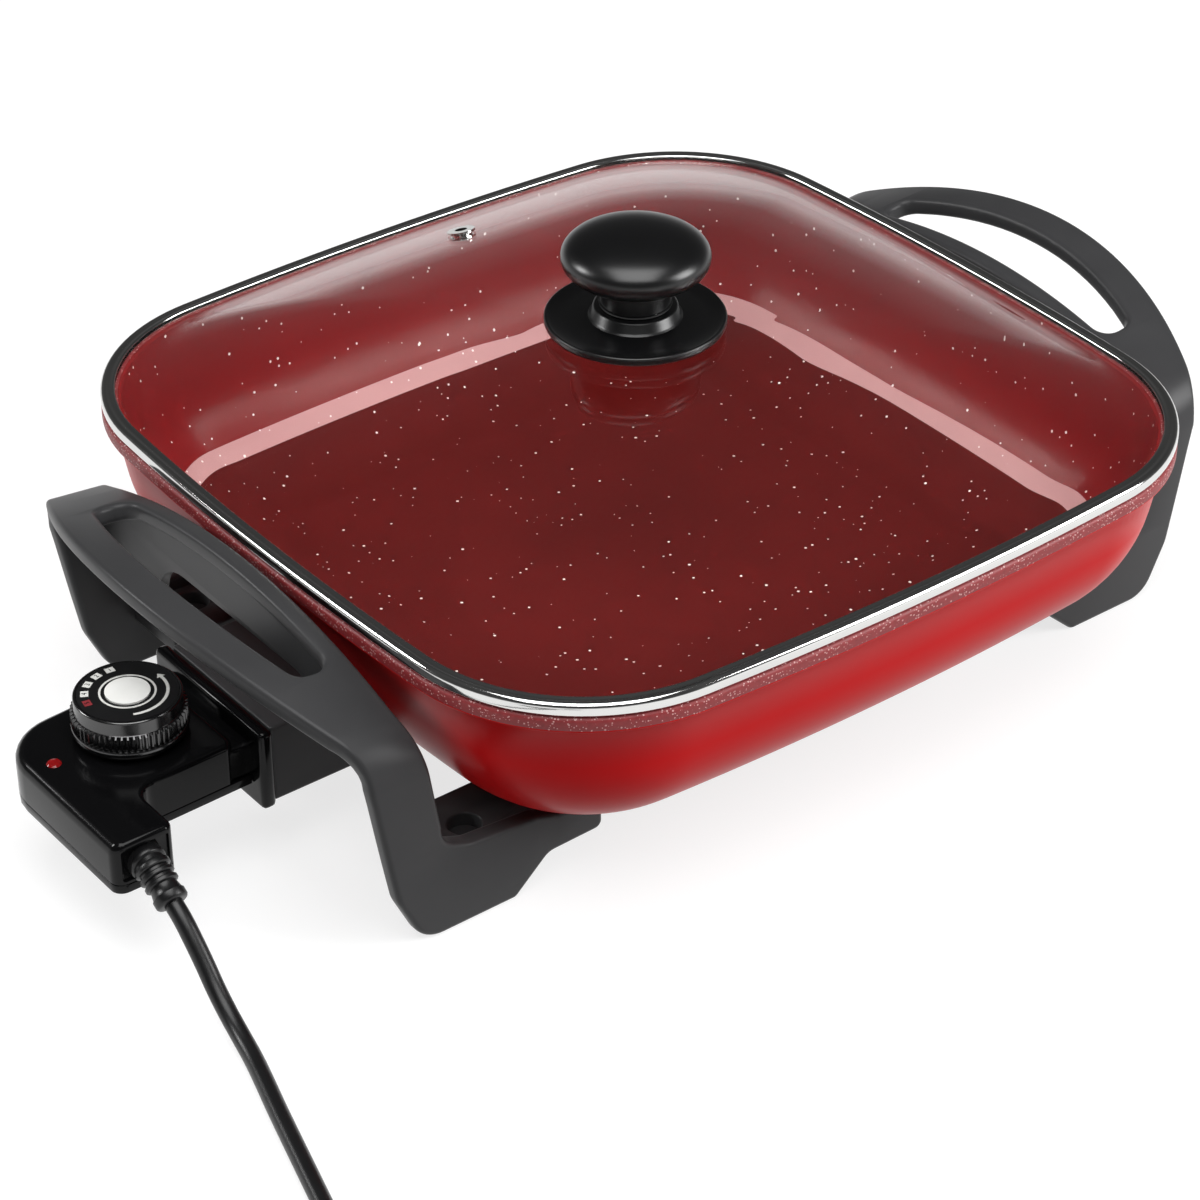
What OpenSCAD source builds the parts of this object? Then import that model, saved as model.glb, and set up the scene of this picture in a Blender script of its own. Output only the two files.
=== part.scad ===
// Electric skillet with a lift-off glass lid, two handles with legs, and a plug-in thermostat probe.
// Origin at the centre of the pan on the table plane, +X towards the rear handle, +Z up.

/* [Pan] */
// Length of the pan over its lip, in line with the handles
pan_length = 300; // [285:1:315]
// Width of the pan over its lip
pan_width = 293; // [280:1:310]
// Corner radius of the lip in plan
corner_radius = 66; // [62:1:72]
// Radius of the slight outward bow of each side
side_bow_radius = 1300; // [1000:50:2000]
// Height of the top of the lip above the table
lip_top = 90.5; // [88:0.5:94]
// Height of the lip band
lip_height = 5.5; // [4:0.5:7]
// How far the lip stands out from the wall below it
lip_overhang = 3.5; // [2.5:0.5:5]
// Thickness of the cast wall and floor
pan_wall = 4.5; // [4:0.5:5]
// Height of the underside above the table
underside = 26; // [25:0.5:28]
// Outside radius where the wall turns into the floor
base_round = 50; // [46:1:52]
// Draft of the wall in degrees
wall_draft = 10; // [8:1:12]

/* [Heating element] */
// Diameter of the sheathed element
element_d = 7; // [6:0.5:8]
// Half width of the element loop under the floor
loop_half = 70; // [62:1:76]
// Bend radius of the loop
loop_bend = 20; // [18:1:24]
// Distance between the two terminal pins
pin_spacing = 28; // [26:1:30]
// Diameter of a terminal pin
pin_d = 4; // [3.5:0.1:4.5]
// Height of the terminal pins above the underside of the pan
pin_rise = 10; // [9:0.5:11]

/* [Lid] */
// Thickness of the glass
glass_thickness = 3.4; // [3:0.1:4]
// Rise of the glass from the rim to the flat top
dome_rise = 26.5; // [18:0.5:30]
// Width of the steel rim over the glass edge
rim_width = 5; // [4:0.5:6]
// Thickness of the rim sheet
rim_sheet = 0.6; // [0.5:0.1:0.8]
// Distance of the steam vent in from the edge of the lid
vent_in = 35.5; // [30:0.5:46]
// Outside diameter of the steam vent eyelet
vent_d = 10; // [9:0.5:12]
// Radius of the finger guard under the knob
guard_radius = 30; // [27:1:32]
// Radius of the knob
knob_radius = 25; // [22:1:28]
// Height of the knob above its finger guard
knob_height = 31; // [28:1:36]
// Diameter of the knob screw
knob_screw_d = 5; // [4:0.5:6]

/* [Handles] */
// Gap between the lip and the inner rail of a handle
handle_gap = 4; // [3:0.5:6]
// Depth of a handle from its inner rail to its outer edge
handle_depth = 42; // [38:1:46]
// Radius of the outer edge in plan
handle_curve = 195; // [180:5:220]
// Height of the middle of a handle's outer edge above the table
handle_top = 97.5; // [95:0.5:100]
// Slope of the top plate, up towards its outer edge
plate_tilt = 6; // [4:0.5:8]
// Radius of the arched top seen from the end
arch_radius = 235; // [210:5:260]
// Width over the two legs of a handle
handle_span = 187; // [180:1:194]
// Thickness of the top plate
plate_thickness = 6.5; // [5.5:0.5:8]
// Thickness of the legs
leg_thickness = 6; // [5:0.5:7]
// Width of the outer rail beside the finger opening
outer_rail = 13; // [11:0.5:15]
// Width of the inner rail beside the finger opening
inner_rail = 7; // [5:0.5:8]
// Length of the finger opening
opening_length = 116; // [100:1:124]
// Length of the flat under a foot
foot_flat = 31; // [26:1:36]
// Diameter of a handle screw
handle_screw_d = 5; // [4:0.5:6]

/* [Terminal shroud] */
// Width of the shroud around the terminals
shroud_width = 57; // [54:1:60]
// Height of the shroud
shroud_height = 28; // [27:0.5:30]
// Wall of the shroud
shroud_wall = 2.5; // [2:0.1:3]
// How far the mouth of the shroud stands out from the lip
shroud_reach = 16; // [14:0.5:18]

/* [Probe] */
// Height of the probe housing
probe_height = 18; // [17:0.5:20]
// Wall of the probe housing
probe_wall = 2.2; // [2:0.1:2.6]
// Width of the neck of the housing
neck_width = 50; // [48:1:54]
// Distance from the flange to the outer face of the housing
probe_depth = 63; // [60:1:68]
// Width of the arm that holds the cord
cord_arm = 21; // [20:0.5:24]
// Reach of the cord arm from the middle of the probe
cord_arm_reach = 48; // [45:1:52]
// Diameter of the temperature sensor rod
sensor_d = 6.4; // [6:0.1:7]

/* [Dial] */
// Radius of the knurled skirt of the dial
dial_radius = 18.5; // [17:0.5:20]
// Height of the dial
dial_height = 12.7; // [11:0.1:15]
// Number of ribs around the skirt
dial_ribs = 60; // [40:4:72]
// Diameter of the dial shaft
shaft_d = 6; // [5:0.5:7]

/* [Cord] */
// Diameter of the cord
cord_d = 6; // [5.5:0.1:6.5]
// Turns of the coil in each layer beside the climb between them
coil_turns = 1.75; // [1.75:1:2.75]
// Radius of the innermost turn of the coil
coil_inner = 28; // [26:1:32]

/* [Hidden] */
$fn = 96;
// Fits
clear = 0.3;          // between separate pieces
fit = 0.05;           // running fit, on the radius
seat = 0.2;           // lid on the lip

// Plan of the lip: four bowed sides and four corner arcs, all tangent
half_l = pan_length / 2;
half_w = pan_width / 2;
bow_x = side_bow_radius - half_l;
bow_y = side_bow_radius - half_w;
bow_ratio = bow_x / bow_y;
bow_shift = (bow_x * bow_x - bow_y * bow_y) / (2 * bow_y);
quad_a = 1 + bow_ratio * bow_ratio;
quad_b = 2 * (bow_x + bow_ratio * bow_shift);
quad_c = bow_x * bow_x + bow_shift * bow_shift - pow(side_bow_radius - corner_radius, 2);
corner_x = (-quad_b + sqrt(quad_b * quad_b - 4 * quad_a * quad_c)) / (2 * quad_a);
corner_y = bow_ratio * corner_x + bow_shift;
turn_x = atan2(corner_y, corner_x + bow_x);
turn_y = atan2(corner_x, corner_y + bow_y);
turn_c = 90 - turn_x - turn_y;
// Each arc: centre, radius, start angle, sweep
outline_arcs = [
    [[-bow_x, 0], side_bow_radius, -turn_x, 2 * turn_x],
    [[corner_x, corner_y], corner_radius, turn_x, turn_c],
    [[0, -bow_y], side_bow_radius, 90 - turn_y, 2 * turn_y],
    [[-corner_x, corner_y], corner_radius, 90 + turn_y, turn_c],
    [[bow_x, 0], side_bow_radius, 180 - turn_x, 2 * turn_x],
    [[-corner_x, -corner_y], corner_radius, 180 + turn_x, turn_c],
    [[0, bow_y], side_bow_radius, 270 - turn_y, 2 * turn_y],
    [[corner_x, -corner_y], corner_radius, 270 + turn_y, turn_c]];

// Pan section, with distances measured in from the lip
lip_under = lip_top - lip_height;
round_z = underside + base_round;
wall_run = (lip_under + base_round * sin(wall_draft) - round_z) / cos(wall_draft);
round_in = lip_overhang + wall_run * sin(wall_draft) + base_round * cos(wall_draft);
inner_round = base_round - pan_wall;
lip_inner = lip_overhang + pan_wall / cos(wall_draft) - lip_height * tan(wall_draft);
floor_top = underside + pan_wall;
arc_steps = 8;
handle_boss_r = 7;

// Element under the floor, which follows the rounding of the pan up to the terminals beside a boss
element_r = element_d / 2;
wrap_r = base_round + clear + element_r;
element_z = round_z - wrap_r;
pin_y = pin_spacing / 2;
pin_z = underside + pin_rise;
lead_bend = 15;
lead_turn = asin((round_z - pin_z + lead_bend) / (wrap_r + lead_bend));
lead_in = round_in - (wrap_r + lead_bend) * cos(lead_turn);
loop_start = half_l - loop_half - loop_bend + 4;
sheath_end = 3;
pin_root = 9;
sensor_end = 26;
insulator_length = 3;
boss_in = 12;
boss_end_in = 58;
boss_half = pin_y - element_r - 1;
boss_top = pin_z + 7;
boss_bottom = underside - 3;
loop_far = loop_half - loop_bend;
loop_x = loop_start - half_l;
half_path = concat(
    [[sheath_end - half_l, pin_y, pin_z]],
    [for (q = arc([lead_in, pin_z - lead_bend], lead_bend, 90, lead_turn, 6)) [q.x - half_l, pin_y, q.y]],
    [for (q = arc([round_in, round_z], wrap_r, 180 + lead_turn + 4, 270, 6)) [q.x - half_l, pin_y, q.y]],
    [for (q = concat(arc([loop_x, pin_y + loop_bend], loop_bend, -90, 0, 6),
        arc([loop_x + 2 * loop_bend, loop_far], loop_bend, 180, 90, 6),
        arc([loop_far, loop_far], loop_bend, 90, 0, 6))) [q.x, q.y, element_z]]);
element_path = concat(half_path, [for (i = [len(half_path) - 1 : -1 : 0])
    [half_path[i].x, -half_path[i].y, half_path[i].z]]);

// Terminal shroud
shroud_half = shroud_width / 2;
shroud_bottom = boss_bottom - shroud_wall;
shroud_top = shroud_bottom + shroud_height;
shroud_tail_in = 27;
shroud_screw_in = 20;
shroud_screw_y = 6.5;
shroud_screw_d = 3.5;
shroud_grip = 7;

// Lid
rim_bottom = lip_top + seat;
glass_low = rim_bottom + rim_sheet + clear / 3;
glass_top = glass_low + glass_thickness;
rim_top = glass_top + clear / 3 + rim_sheet;
edge_in = rim_sheet + clear;
flat_scale = 0.24;
dome_scale = 1 - (rim_width + 2) / half_w;
crown = glass_top + dome_rise;
gasket_thickness = 1;
gasket_radius = 14;
guard_edge = 3;
collar_radius = 15;
collar_height = 4;
neck_radius = 11.4;
knob_cap = 19.4;
guard_bottom = crown + gasket_thickness;
guard_top = guard_bottom + guard_edge;
collar_top = guard_top + collar_height;
knob_top = guard_top + knob_height;
washer_thickness = 1.2;
washer_radius = 9;
screw_bite = 20;
vent_offset = half_w - vent_in;
vent_scale = vent_offset / half_w;
vent_z = glass_top + dome_rise * dome_share(vent_scale);
vent_tilt = atan(2 * dome_rise * vent_scale / (half_w * (dome_scale * dome_scale - flat_scale * flat_scale)));
vent_hole = vent_d * 0.44;
vent_tube = vent_d * 0.66;
vent_flange = 0.8;
vent_side = 10;
// Scales of the outline at which the dome of the glass has its rings
glass_scales = [flat_scale, 0.4, 0.54, 0.67, 0.79, 0.88, dome_scale];

// Handles
handle_x = half_l + handle_gap;
handle_half = handle_span / 2;
handle_out = handle_x + handle_depth;
handle_in_top = handle_top - handle_depth * tan(plate_tilt);
arch_bottom = -14;
sheet_spare = 14;
arm_top = underside - 0.8;
arm_floor_top = underside - 2;
arm_floor = 6;
arm_reach = 68;
arm_width = 32;
arm_arch = 11.5;
arm_screw_in = 54;
arm_screw_y = handle_half - 15.5;
arm_hole_in = 25.5;
arm_hole_d = 11;
skirt_thickness = 4;
skirt_set = 0.5;
skirt_bottom = 50;
skirt_cut_half = 47;
skirt_cut_top = 70;
corner_bend = 18;
skirt_cut_bend = 16;
ledge_end_in = 8;
opening_out = handle_curve - outer_rail;
opening_half = opening_length / 2;
opening_turn = asin(opening_half / opening_out);
opening_middle = handle_out - handle_curve;
opening_end = opening_middle + opening_out * cos(opening_turn);
opening_bend = min(7, 0.5 * (opening_end - handle_x - inner_rail));
opening_depth = 40;
head_height = 3;
screw_grip = 3;
// Side view of a leg: distance out from the inner rail, height, corner radius
leg_side = [
    [-3 - foot_flat, 0, 3], [1, 0, 11], [10, 19, 14], [17, 56, 20], [23, 70, 20], [60, 92, 0], [60, 120, 0],
    [0, 120, 0], [0, 78, 20], [-7, 40, 0], [-7, 34, 8], [-17, underside + 4, 12], [-42, underside + 2, 6],
    [-50, arm_top, 4], [-arm_reach, arm_top, 2], [-arm_reach, arm_arch + 0.5, 3], [-47, arm_arch, 6]];

// Probe, with distances measured out from the lip
flange_thickness = 5;
flange_out = shroud_reach + clear;
flange_half = shroud_half + 2.2;
flange_over = 0.5;
housing_in = flange_out + flange_thickness;
housing_out = housing_in + probe_depth;
housing_bottom = pin_z - probe_height / 2 + 1;
housing_top = housing_bottom + probe_height;
parting = housing_bottom + 3;
lip_rise = 1;
lip_wall = 1;
neck_half = neck_width / 2;
arm_in = housing_out - cord_arm;
// Plan of the housing: distance out, across, corner radius
housing_plan = [
    [housing_in - 1, neck_half, 0], [housing_out, neck_half - 1, 19], [housing_out, -cord_arm_reach, 4],
    [arm_in, -cord_arm_reach, 3], [arm_in, -neck_half - 1, 7], [housing_in - 1, -neck_half, 0]];
carrier_half = pin_y + 6;
carrier_tall = 10;
carrier_in = shroud_reach - 4;
carrier_out = housing_in + 9;
sleeve_r = pin_d / 2 + 1.2;
sleeve_in = 3;
sleeve_out = housing_in + 12;
sensor_r = sensor_d / 2;
sensor_back = carrier_out;
pin_tip = shroud_reach - 1;
dial_out = housing_in + 27.5;
shaft_r = shaft_d / 2;
shaft_flat = shaft_r * 0.6;
pedestal_r = 15;
pedestal_h = 2;
bush_r = shaft_r + 3;
bush_drop = 4.5;
dial_bottom = housing_top + pedestal_h + clear;
dial_top = dial_bottom + dial_height;
plate_recess = 0.8;
dial_roof = 3;
rib_depth = 0.8;
dial_barrel_r = dial_radius - 1.5;
dial_plate_r = dial_radius - 2.7;
dial_cap_r = 7.1;
lamp_out = housing_out - 8;
lamp_y = 0;
lens_r = 2;
lens_head = 2.4;
lens_bottom = housing_top - probe_wall - 1;
neon_r = 2.2;
post_r = 3.2;
post_bore = 1.2;
post_grip = 8;
post_in = 16;
post_side = 8;
arm_post_side = 19;
// Screw posts of the probe: distance out, across
posts = [[housing_in + post_in, neck_half - post_side], [housing_out - post_side, -arm_post_side],
    [housing_in + post_in, post_side - neck_half]];
frame_z = parting + 2;
frame_sheet = 1.2;
frame_half = 10;
frame_tab_half = 10;
frame_post_out = [dial_out - 10, dial_out + 10];
blade_z = frame_z + frame_sheet + 3.4;
blade_gap = 1.6;
blade_sheet = 0.4;
blade_half = 2.5;
blade_tail = 6;
stack_out = dial_out + 13;
stack_r = 3;
shaft_bottom = blade_z + blade_gap + 2 * blade_sheet + clear;

// Cord: the boot leaves the end of the cord arm and droops
cord_r = cord_d / 2;
cord_out = housing_out - cord_arm / 2;
cord_x = -half_l - cord_out;
cord_y = -cord_arm_reach;
cord_z = pin_z + 1;
boot_droop = 31;
boot_bend = 8;
boot_taper = 12;
boot_inside = 8;
boot_neck_r = 4.6;
boot_r = 6.2;
boot_tip_r = 4.6;
boot_ribs = 4;
boot_way = [0, -cos(boot_droop), -sin(boot_droop)];
boot_end = [cord_x, cord_y - boot_bend * sin(boot_droop), cord_z - boot_bend * (1 - cos(boot_droop))]
    + boot_taper * boot_way;
tie_sheet = 0.8;
coil_z = cord_r + tie_sheet + clear;
// Route of the free stretch from the tip of the boot, then along the table to the coil
table_z = cord_r + 0.15;
cord_route = [
    boot_end, boot_end + 5 * boot_way,
    [cord_x, cord_y - 24, cord_z - 14.4], [cord_x, cord_y - 30, cord_z - 20.2],
    [cord_x - 0.3, cord_y - 36, cord_z - 25.6], [cord_x - 0.8, cord_y - 43, cord_z - 30.1],
    [cord_x - 1.8, cord_y - 51, cord_z - 32.8], [cord_x - 3.6, cord_y - 60, table_z],
    [cord_x - 6.4, cord_y - 70, table_z], [cord_x - 10, cord_y - 82, table_z],
    [cord_x - 14, cord_y - 96, table_z], [cord_x - 18.5, cord_y - 112, table_z],
    [cord_x - 23, cord_y - 128, table_z],
    [cord_x - 27.5, cord_y - 144, table_z + 0.5], [cord_x - 32, cord_y - 160, coil_z],
    [cord_x - 36.5, cord_y - 176, coil_z]];
route_end = cord_route[len(cord_route) - 1];
coil_heading = unit(route_end - cord_route[len(cord_route) - 2]);
coil_step = cord_d + 0.7;
coil_outer = coil_inner + coil_turns * coil_step;
coil_start = route_end + cord_d * coil_heading;
coil_angle = atan2(coil_heading.x, -coil_heading.y);
coil_centre = [coil_start.x - coil_outer * cos(coil_angle), coil_start.y - coil_outer * sin(coil_angle)];
coil_rings = 24;
coil_total = 2 * coil_turns + 0.5;
coil_count = round(coil_total * coil_rings);
coil_end_angle = coil_angle - 360 * coil_total;
coil_tangent = [sin(coil_end_angle), -cos(coil_end_angle), 0];
// The spiral runs straight at each end, far enough for the plug to lie clear of the turns
plug_lead = 26;
coil_points = concat(
    [route_end],
    [for (i = [0 : coil_count]) coil_point(i / coil_rings)],
    [coil_point(coil_total) + plug_lead * coil_tangent]);
cord_end = coil_points[len(coil_points) - 1];
plug_heading = atan2(coil_tangent.y, coil_tangent.x);
plug_length = 38;
plug_width = 34;
plug_neck = 16;
plug_neck_r = 5.5;
plug_pin_r = 2;
plug_pin_length = 19;
plug_pitch = 9.5;
plug_earth = 4;
plug_thickness = 2 * (cord_end.z - 0.2);
tie_angle = coil_angle + 150;
tie_width = 6;
least_gap = min([for (i = [0 : coil_count]) for (k = [i + 14 : 1 : coil_count + 1])
    norm(coil_points[i] - coil_points[k])]) - cord_d;
cord_length = path_length(cord_route) + path_length(coil_points);
echo(least_gap_between_turns = least_gap, cord_length = cord_length);

// Share of the dome's rise at a scale of the outline, 0 at the rim and 1 on the flat top
function dome_share(s) = let (t = max(min(s, dome_scale), flat_scale))
    (dome_scale * dome_scale - t * t) / (dome_scale * dome_scale - flat_scale * flat_scale);

// Points along the lip outline, moved in by a distance
function outline(inset) = [for (a = outline_arcs) let (n = a[3] > 20 ? 10 : 6) for (i = [0 : n - 1])
    let (t = a[2] + a[3] * i / n) a[0] + (a[1] - inset) * [cos(t), sin(t)]];

function arc(centre, r, from, to, n) = [for (i = [0 : n]) let (t = from + (to - from) * i / n)
    centre + r * [cos(t), sin(t)]];

function unit(v) = v / norm(v);

function path_length(points) = len(points) < 2 ? 0
    : [for (i = [1 : len(points) - 1]) norm(points[i] - points[i - 1])] * [for (i = [1 : len(points) - 1]) 1];

// A polygon of [x, y, radius] corners with each corner rounded
function rounded(corners) = [for (i = [0 : len(corners) - 1]) let (m = len(corners))
    each turned_corner(corners[(i + m - 1) % m], corners[i], corners[(i + 1) % m])];
function turned_corner(a, c, b) = c.z == 0 ? [[c.x, c.y]] : let (
    p = [c.x, c.y], u = unit([a.x, a.y] - p), v = unit([b.x, b.y] - p), half = acos(u * v) / 2,
    middle = p + unit(u + v) * c.z / sin(half),
    first = p + u * c.z / tan(half) - middle, last = p + v * c.z / tan(half) - middle,
    from = atan2(first.y, first.x), sweep = atan2(last.y, last.x) - from,
    turn = sweep > 180 ? sweep - 360 : sweep < -180 ? sweep + 360 : sweep)
    arc(middle, c.z, from, from + turn, 6);

// The same corners moved in by a distance, for corners listed clockwise; concave radii grow
function inset(corners, d) = [for (i = [0 : len(corners) - 1])
    let (m = len(corners), c = corners[i], a = corners[(i + m - 1) % m], b = corners[(i + 1) % m],
        u = unit([c.x - a.x, c.y - a.y]), v = unit([b.x - c.x, b.y - c.y]),
        nu = [u.y, -u.x], nv = [v.y, -v.x], bend = u.x * v.y - u.y * v.x,
        move = (nu + nv) * d / (1 + nu * nv))
    [c.x + move.x, c.y + move.y, c.z == 0 ? 0 : max(c.z + (bend < 0 ? -d : d), 0.5)]];

// Spiral of the coil after a number of turns: in on the lower layer, a climb, out on the upper layer
function coil_point(turns) = let (
    climb = min(max((turns - coil_turns) / 0.5, 0), 1),
    away = max(coil_turns - turns, turns - coil_turns - 0.5),
    r = coil_inner + away * coil_step, t = coil_angle - 360 * turns)
    [coil_centre.x + r * cos(t), coil_centre.y + r * sin(t), coil_z + coil_step * (1 - cos(180 * climb)) / 2];

// A solid swept along points, as rings of flat sides
module tube(points, r, sides) {
    n = len(points);
    rings = [for (i = [0 : n - 1])
        let (t = unit(points[min(i + 1, n - 1)] - points[max(i - 1, 0)]),
            w = unit(cross(t, [0, 0, 1])), h = cross(w, t))
        for (k = [0 : sides - 1]) points[i] + r * (w * cos(360 * k / sides) - h * sin(360 * k / sides))];
    loft(rings, n, sides);
}

// A closed solid through rings of points, with flat ends
module loft(points, rings, sides) {
    ends = concat(points, [ring_middle(points, 0, sides), ring_middle(points, rings - 1, sides)]);
    faces = concat(
        [for (i = [0 : rings - 2]) for (k = [0 : sides - 1])
            let (a = i * sides + k, b = i * sides + (k + 1) % sides)
            each [[a, a + sides, b], [b, a + sides, b + sides]]],
        [for (k = [0 : sides - 1]) [k, (k + 1) % sides, rings * sides]],
        [for (k = [0 : sides - 1]) let (base = (rings - 1) * sides)
            [base + (k + 1) % sides, base + k, rings * sides + 1]]);
    polyhedron(ends, faces, convexity = 4);
}

function ring_middle(points, ring, sides) = [for (axis = [0 : 2])
    [for (k = [0 : sides - 1]) points[ring * sides + k][axis]] * [for (k = [0 : sides - 1]) 1 / sides]];

// A section of [distance in from the lip, height] carried round the outline
module around(section, arcs) {
    for (a = arcs)
        translate([a[0].x, a[0].y, 0]) rotate(a[2])
            rotate_extrude(angle = a[3], $fn = a[3] > 20 ? 96 : 900)
                polygon([for (q = section) [a[1] - q.x, q.y]]);
}

// The front of the skillet: X is the distance out from the lip on the probe side
module front() {
    translate([-half_l, 0, 0]) mirror([1, 0, 0]) children();
}

// A cylinder that lies along X from one place to another
module rod(from, to, r) {
    translate([from, 0, 0]) rotate([0, 90, 0]) cylinder(r = r, h = to - from);
}

// A block between two places in X, centred on Y, between two heights
module slab(from, to, half, low, high) {
    translate([from, -half, low]) cube([to - from, 2 * half, high - low]);
}

// A ring or a disc about Z between two heights
module ring(r, bore, low, high) {
    translate([0, 0, low]) difference() {
        cylinder(r = r, h = high - low);
        if (bore > 0) translate([0, 0, -1]) cylinder(r = bore, h = high - low + 2);
    }
}

// A screw that points up, with its head below a height
module screw(d, head_r, head_h, seat_z, tip_z) {
    translate([0, 0, seat_z - head_h]) cylinder(r = head_r, h = head_h);
    translate([0, 0, seat_z]) cylinder(d = d, h = tip_z - seat_z);
}

module both_sides() {
    children();
    mirror([0, 1, 0]) children();
}

module four_corners() {
    for (x = [0, 1]) for (y = [0, 1]) mirror([x, 0, 0]) mirror([0, y, 0]) children();
}

// Filled section of the pan from the lip inwards, outside or inside
function outer_wall(grow) = concat(
    [[-grow, lip_top], [-grow, lip_under - grow], [lip_overhang - grow, lip_under - grow]],
    arc([round_in, round_z], base_round + grow, 180 + wall_draft, 270, arc_steps),
    [[corner_radius, underside - grow]]);

// A ring of the outline at a distance in from the lip and a height
function pan_ring(q) = [for (p = outline(q.x)) [p.x, p.y, q.y]];

module pan_shell() {
    rings = [for (q = concat(
        arc([round_in, round_z], base_round, 270, 180 + wall_draft, arc_steps),
        [[lip_overhang, lip_under], [0, lip_under], [0, lip_top], [lip_inner, lip_top]],
        arc([round_in, round_z], inner_round, 180 + wall_draft, 270, arc_steps))) pan_ring(q)];
    loft([for (r = rings) each r], len(rings), len(rings[0]));
}

// Sections of the pan on the probe side only, filled up to the lip
module front_wall(section) {
    around(concat(section, [[corner_radius, lip_top]]), [outline_arcs[4]]);
}

module straight(length) {
    rotate([90, 0, 90]) linear_extrude(length) children();
}

module pan() {
    color("firebrick") difference() {
        union() {
            pan_shell();
            difference() {
                front() slab(-boss_end_in, -boss_in, boss_half, boss_bottom, boss_top);
                front_wall(outer_wall(-pan_wall / 2));
            }
            four_corners() translate([handle_x - arm_screw_in, arm_screw_y, 0])
                ring(handle_boss_r, 0, arm_floor_top, underside + pan_wall / 2);
        }
        front() translate([0, 0, pin_z]) rod(-sensor_end, 0, sensor_r + clear);
        four_corners() translate([handle_x - arm_screw_in, arm_screw_y, 0])
            ring(handle_screw_d / 2 + fit, 0, arm_floor_top - 1, underside + screw_grip + clear);
        both_sides() front() translate([-shroud_screw_in, shroud_screw_y, 0])
            ring(shroud_screw_d / 2 + fit, 0, boss_bottom - 1, boss_bottom + shroud_grip + clear);
    }
}

module heating_element() {
    color("dimgray") difference() {
        tube(element_path, element_r, 12);
        both_sides() front() translate([0, pin_y, pin_z]) rod(-pin_root, 0, pin_d / 2 + fit);
    }
}

module terminal_insulators() {
    color("ivory") both_sides() front() translate([0, pin_y, pin_z]) difference() {
        rod(-sheath_end, insulator_length - sheath_end, element_r);
        rod(-sheath_end - 1, insulator_length, pin_d / 2 + fit);
    }
}

module terminal_pins() {
    color("silver") both_sides() front() translate([0, pin_y, pin_z])
        rod(clear - pin_root, pin_tip, pin_d / 2);
}

module terminal_shroud() {
    color("#202020") difference() {
        front() slab(-shroud_tail_in, shroud_reach, shroud_half, shroud_bottom, shroud_top);
        front() slab(-shroud_tail_in - 1, shroud_reach + 1, shroud_half - shroud_wall, boss_bottom,
            shroud_top - shroud_wall);
        front_wall(outer_wall(clear));
        both_sides() front() translate([-shroud_screw_in, shroud_screw_y, 0])
            ring(shroud_screw_d / 2 + clear, 0, shroud_bottom - 1, boss_bottom + 1);
    }
}

module shroud_screws() {
    color("silver") both_sides() front() translate([-shroud_screw_in, shroud_screw_y, 0])
        screw(shroud_screw_d, shroud_screw_d * 0.9, head_height - 1, shroud_bottom,
            boss_bottom + shroud_grip);
}

// The arch of a handle seen from its end, from the table up
function arch_outline(half, top, r, bend) = let (
    middle = top - r,
    bend_z = middle + sqrt(pow(r - bend, 2) - pow(half - bend, 2)),
    lean = atan2(half - bend, bend_z - middle))
    concat([[half, arch_bottom]],
        arc([half - bend, bend_z], bend, 0, 90 - lean, 6),
        arc([0, middle], r, 90 - lean, 90 + lean, 24),
        arc([bend - half, bend_z], bend, 90 + lean, 180, 6),
        [[-half, arch_bottom]]);

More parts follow.
